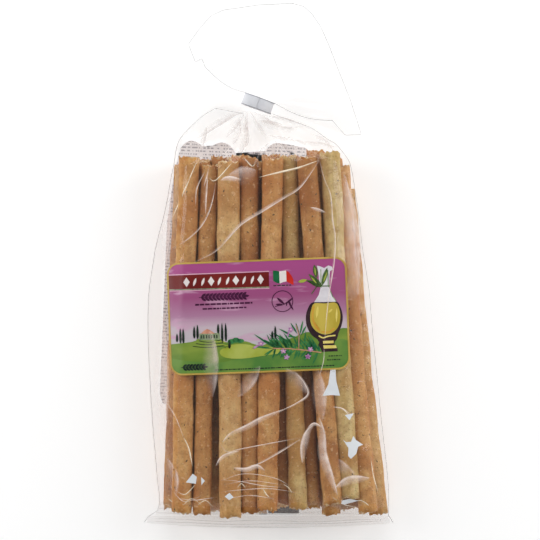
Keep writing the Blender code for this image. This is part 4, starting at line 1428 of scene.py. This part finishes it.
SOFT_FOLDS = (
    (1.6, (29.3, 60.2), (18.3, 45.1), (8.4, 38.7), (-3.8, 31.2), (-16.5, 23.1), (-29.9, 8.6), (-42.6, 1.6)),
    (0.8, (-30.4, 47.4), (-32.2, 37.6), (-35.1, 28.9), (-39.7, 21.3), (-47.3, 14.4), (-57.7, 8.0)),
    (1.0, (-35.1, 52.1), (-36.2, 37.6), (-36.2, 28.9)),
    (0.7, (-33.9, 57.9), (-37.4, 44.5)),
    (2.4, (-27.5, 48.4), (-23.5, 49.6), (-15.5, 48.8)),
    (2.6, (-26.4, -102.2), (-21.6, -97.6), (-12.0, -93.4), (-3.8, -88.9), (9.6, -83.1)),
    (1.0, (6.0, -84.6), (16.0, -80.0), (22.9, -74.7), (21.0, -68.0), (14.0, -60.0)),
    (0.6, (-28.6, -102.0), (-24.0, -107.6), (-16.5, -106.2), (-2.0, -103.4), (18.3, -99.6)),
    (1.8, (-30.4, -116.0), (-26.0, -110.6), (-16.5, -107.0)),
    (1.0, (19.4, -99.6), (9.6, -105.7), (-3.8, -113.4), (-12.5, -117.2)),
    (2.4, (-20.6, -117.0), (-13.0, -118.2), (-6.6, -116.2), (-2.0, -118.6)),
    (3.4, (19.7, -114.0), (20.6, -104.0), (23.0, -96.0), (26.0, -92.4)),
    (1.6, (22.6, -94.0), (26.4, -91.8), (30.4, -93.4)),
    (4.2, (29.0, -88.0), (30.8, -97.0), (31.0, -109.0), (35.0, -121.0), (39.6, -132.6)),
    (4.0, (38.6, -128.6), (46.4, -124.4), (58.5, -123.4)),
    (0.5, (51.3, -67.4), (55.4, -67.4)),
    (0.6, (-60.6, -78.4), (-54.2, -87.1), (-49.0, -99.3)),
    (
        0.9, (29.3, 60.2), (32.2, 49.2), (35.7, 39.9), (36.8, 26.0), (38.2, 16.1), (37.6, 1.6),
        (34.3, -20.4), (32.0, -47.2),
    ),
    (0.5, (-27.0, -123.7), (-16.5, -124.8), (-3.8, -127.1), (9.0, -128.3)),
    (0.5, (-27.0, -130.6), (-13.6, -129.5), (0.9, -128.9), (18.3, -131.8)),
    (0.5, (-23.5, -134.7), (-10.7, -132.9), (3.8, -134.7)),
    (0.6, (-52.5, -134.7), (-42.0, -135.8), (-31.0, -134.1)),
    (0.9, (36.8, -81.9), (42.6, -83.1), (49.0, -88.3)),
    (0.5, (32.0, -47.2), (31.6, -55.2), (28.7, -66.0)),
    (0.4, (-28.0, -124.6), (-14.0, -120.4), (4.0, -123.0), (16.0, -130.0)),
    (0.4, (-26.0, -126.6), (-10.0, -124.4), (8.0, -126.6)),
    (0.4, (-57.6, -127.0), (-49.0, -136.4), (-38.0, -133.0)),
    (0.7, (-36.6, 54.0), (-41.4, 44.0), (-42.0, 34.0)),
    (1.6, (24.0, 33.0), (33.0, 30.0)),
)
FAINT_FOLDS = (
    (7.5, (-34.0, -38.0), (-33.6, -50.0), (-32.6, -76.0)),
    (5.0, (-57.6, 46.0), (-60.0, 20.0), (-61.0, -6.0)),
    (7.0, (28.0, -60.0), (29.0, -74.0), (30.6, -90.0)),
    (6.0, (10.0, -60.0), (17.0, -68.0), (22.0, -74.0)),
    (6.0, (-5.0, -58.0), (-12.0, -68.0), (-18.0, -76.0)),
    (5.0, (44.0, 52.0), (47.0, 24.0), (50.0, -2.0)),
    (5.0, (-59.0, -112.0), (-55.0, -122.0), (-54.0, -134.0)),
    (5.0, (40.0, -112.0), (44.0, -118.0), (50.0, -121.0)),
    (9.0, (-23.0, 51.0), (-15.0, 51.0), (-7.0, 54.0)),
    (8.0, (-62.0, -30.0), (-62.5, -70.0), (-61.0, -104.0)),
    (8.0, (43.4, 52.0), (47.6, 22.0), (51.0, -18.0)),
)
# gathers that fan out from the neck, coloured grey-beige as a painted shade
SHOULDER_FOLDS = (
    (2.6, (-13.0, 88.9), (-20.7, 87.2), (-32.2, 80.2), (-42.8, 72.5)),
    (2.2, (-14.0, 87.6), (-20.7, 79.3), (-24.5, 73.5)),
    (2.0, (-12.4, 88.0), (-13.4, 79.3), (-12.4, 72.5), (-13.0, 67.6)),
    (1.6, (-10.6, 88.4), (-7.6, 82.1), (-3.4, 76.4), (-1.4, 72.5)),
    (2.8, (-8.2, 88.0), (-1.4, 83.1), (4.3, 78.6), (12.0, 77.8), (20.7, 79.5)),
    (3.0, (-6.0, 83.0), (0.6, 80.6), (8.4, 80.4)),
    (1.4, (-1.4, 74.5), (10.1, 72.5), (12.5, 74.0)),
    (1.4, (10.1, 72.5), (21.6, 70.1), (30.3, 69.6), (39.9, 67.7)),
    (2.6, (-16.8, 84.1), (-18.7, 74.5), (-20.7, 69.6)),
    (3.0, (-13.8, 86.4), (-14.4, 76.4), (-14.9, 69.6), (-16.8, 62.9)),
    (0.8, (-15.4, 61.4), (-12.0, 59.1), (-9.1, 56.4)),
    (0.8, (-9.1, 56.4), (-5.3, 62.9), (-3.4, 66.8), (2.4, 71.6)),
    (0.8, (2.4, 71.6), (8.0, 69.0), (11.0, 65.0)),
    (2.0, (-36.0, 80.0), (-38.0, 72.0), (-40.6, 64.0)),
    (1.6, (24.0, 76.0), (33.0, 70.6), (38.6, 62.0)),
    (1.6, (0.0, 86.0), (12.0, 83.0), (24.0, 78.6)),
)
# flat white patches, a painted highlight where facets of the film would mirror the lamps; outlines in mm of
# the frame
PAINTED_GLINTS = (
    ((35.7, -60.4), (38.6, -60.4), (39.1, -67.0), (41.2, -75.4), (36.2, -75.0), (31.2, -75.5), (34.5, -68.7)),
    ((42.9, -100.6), (44.6, -102.2), (47.6, -102.0), (49.0, -98.6), (50.4, -101.0), (54.6, -103.8),
     (51.8, -105.0), (50.6, -109.0), (47.6, -111.9), (45.9, -110.2), (46.1, -105.6)),
    ((44.0, -86.6), (49.2, -85.6), (46.7, -89.6)),
    ((-47.6, -125.4), (-43.6, -120.4), (-41.3, -122.2), (-41.8, -126.2)),
    ((-38.8, -122.2), (-36.6, -124.4), (-38.6, -127.0)),
    ((-25.2, -133.4), (-22.4, -131.2), (-20.0, -133.8), (-22.6, -135.4)),
    ((38.6, -136.8), (47.0, -135.0), (52.0, -136.2), (44.0, -138.6)),
)
# kinds of fold: bright and soft painted highlights, a faint painted sheen, and painted shade on the shoulder
# gathers
FOLD_KINDS = (
    ("folds_bright", BRIGHT_FOLDS, 1.3, milky_haze_and_painted_sheen("bright_crease_painted_highlight", 1.6, linear(250, 232, 206), 0.25, True)),
    ("folds_soft", SOFT_FOLDS, 1.4, milky_haze_and_painted_sheen("soft_crease_painted_highlight", 0.82, linear(246, 226, 216), 0.3, True)),
    ("folds_faint", FAINT_FOLDS, 1.3, milky_haze_and_painted_sheen("faint_crease_painted_sheen", 0.38, linear(232, 212, 204), 0.3, True)),
    ("folds_shoulder", SHOULDER_FOLDS, 1.9, milky_haze_and_painted_sheen("shoulder_crease_painted_shade", 0.34, linear(208, 194, 188), 0.3, True)),
)
for name, folds, broader, finish in FOLD_KINDS:
    creased = loft(name, [pinch(points, width * broader) for width, *points in folds])
    # how strong the painted light is at each point: across by the profile, and fading towards the ends
    strength = creased.data.attributes.new("fold_painted_highlight", "FLOAT", "POINT")
    ring = [*FOLD_HIGHLIGHT_PROFILE[:, 1], *FOLD_HIGHLIGHT_PROFILE[::-1, 1]]
    values = []
    for width, *points in folds:
        count = len(smooth_line(points))
        for k in range(count):
            run_out = math.sin(math.pi * (0.02 + 0.96 * k / (count - 1))) ** 0.45
            values += [value * run_out for value in ring]
    strength.data.foreach_set("value", values)
    fix_film(creased, finish)


def on_film(u, v, lift):
    """A place on the front film, in mm of the frame."""
    return u * MM, v * MM, cover_height(u * MM, v * MM) + lift


# the patches lie on the film, painted near white as a highlight
painted_glints = thin_sheet("film_glints", PAINTED_GLINTS, on_film, 0.30 * MM, 0.12 * MM, 2.0)
fix_film(painted_glints, milky_haze_and_painted_sheen("painted_glint", 0.92, linear(226, 230, 234), 0.2))

SEAL_FILM = milky_haze_and_painted_sheen("sealed_film", 0.06, linear(212, 198, 196), 0.35)
SEAL_LOW = BAG_LOW.y / MM


def on_seal(u, v, lift):
    """A place on the heat-sealed foot of the bag, in mm of the frame."""
    x, station = u * MM, v * MM - BAG_LOW.y
    bow = SEAL_BOW * max(0.0, 1 - station / SEAL_DEPTH) * (x / (73 * MM)) ** 2
    rib = 0.12 * MM * math.sin(v * 4.2)
    return x, v * MM + bow, SEAL_THICKNESS + rib + lift


# one sheet for the sealed strip, and others for the crushed film that lies in folds above it
foot_film = [bar(-71.0, SEAL_LOW + 0.4, 71.0, SEAL_LOW + 7.6)]
crushed = ((-66.0, 8.2), (66.0, 8.2), (65.0, 15.0), (-64.0, 16.0))
foot_film.append([(u, SEAL_LOW + above) for u, above in crushed])
sealed = thin_sheet("heat_seal", foot_film, on_seal, 0.10 * MM, 0.08 * MM, 1.0)
fix_film(sealed, SEAL_FILM)
seal_lines = []
for v0, v1, sway in ((2.4, 2.9, 0.25), (4.8, 4.0, 0.5), (9.8, 8.6, 0.8), (11.0, 13.4, 1.0)):
    line = []
    for u in range(-66, 67, 2):
        v = SEAL_LOW + v0 + (v1 - v0) * (u + 66) / 132 + sway * math.sin(0.11 * u + 3 * v0)
        line.append(on_seal(u, v, 0.22 * MM))
    seal_lines.append(thread(line, 0.13 * MM))
crimps = loft("seal_crimps", seal_lines)
fix_film(crimps, milky_haze_and_painted_sheen("crimped_film", 0.16, linear(196, 182, 182), 0.35))


# ---- Studio --------------------------------------------------------------------------------
# A white table lit from around and from below, four soft boxes and a long lens straight above.

bpy.ops.object.select_all(action="DESELECT")
bpy.ops.mesh.primitive_plane_add(size=6.0, location=(0, 0, -0.3 * MM))
table = bpy.context.object
table.name = "table"
settle(table)
table_finish, table_shader = shader("white_table", 0.9)
table_shader.inputs["Base Color"].default_value = (0.8, 0.8, 0.8, 1.0)
table_shader.inputs["Specular IOR Level"].default_value = 0.0
table_shader.inputs["Emission Color"].default_value = (1.0, 1.0, 1.0, 1.0)
table_shader.inputs["Emission Strength"].default_value = 0.38
table.data.materials.append(table_finish)


def soft_box(name, place, size, radiance):
    """A square lamp that faces the pack; radiance is how bright its face looks."""
    lamp = bpy.data.lights.new(name, "AREA")
    lamp.shape = "RECTANGLE"
    lamp.size, lamp.size_y = size
    lamp.energy = radiance * math.pi * size[0] * size[1]
    holder = bpy.data.objects.new(name, lamp)
    bpy.context.scene.collection.objects.link(holder)
    holder.location = place
    holder.rotation_euler = (-Vector(place)).to_track_quat("-Z", "Y").to_euler()
    return holder


for name, place, size, radiance in (
    ("lamp_left", (-1.08, 0.34, 0.64), (0.6, 1.0), 3.2),
    ("lamp_right", (1.08, 0.34, 0.64), (0.6, 1.0), 3.2),
    ("lamp_head", (0.0, 0.90, 0.80), (0.8, 0.5), 3.0),
    ("lamp_foot", (0.0, -0.95, 0.72), (0.8, 0.5), 0.6),
):
    soft_box(name, place, size, radiance)

# A light tent: bright round the table, dimmer overhead
tent = bpy.data.worlds.new("tent")
bpy.context.scene.world = tent
tent.use_nodes = True
tent_nodes = tent.node_tree.nodes
direction = tent_nodes.new("ShaderNodeTexCoord")
upward = tent_nodes.new("ShaderNodeSeparateXYZ")
tent.node_tree.links.new(direction.outputs["Generated"], upward.inputs[0])
fall = tent_nodes.new("ShaderNodeMapRange")
fall.inputs["From Min"].default_value = 0.0
fall.inputs["From Max"].default_value = 0.7
fall.inputs["To Min"].default_value = 0.95
fall.inputs["To Max"].default_value = 0.22
tent.node_tree.links.new(upward.outputs["Z"], fall.inputs["Value"])
tent.node_tree.links.new(fall.outputs["Result"], tent_nodes["Background"].inputs["Strength"])
tent_nodes["Background"].inputs["Color"].default_value = (1.0, 1.0, 1.0, 1.0)

lens = bpy.data.cameras.new("camera")
lens.sensor_width = 36.0
CAMERA_HEIGHT = 2.0
VIEW_WIDTH = 313.2 * MM
lens.lens = lens.sensor_width * (CAMERA_HEIGHT - 20 * MM) / VIEW_WIDTH
camera = bpy.data.objects.new("camera", lens)
bpy.context.scene.collection.objects.link(camera)
camera.location = (0.9 * MM, -3.0 * MM, CAMERA_HEIGHT)
bpy.context.scene.camera = camera
bpy.context.scene.view_settings.view_transform = "Standard"
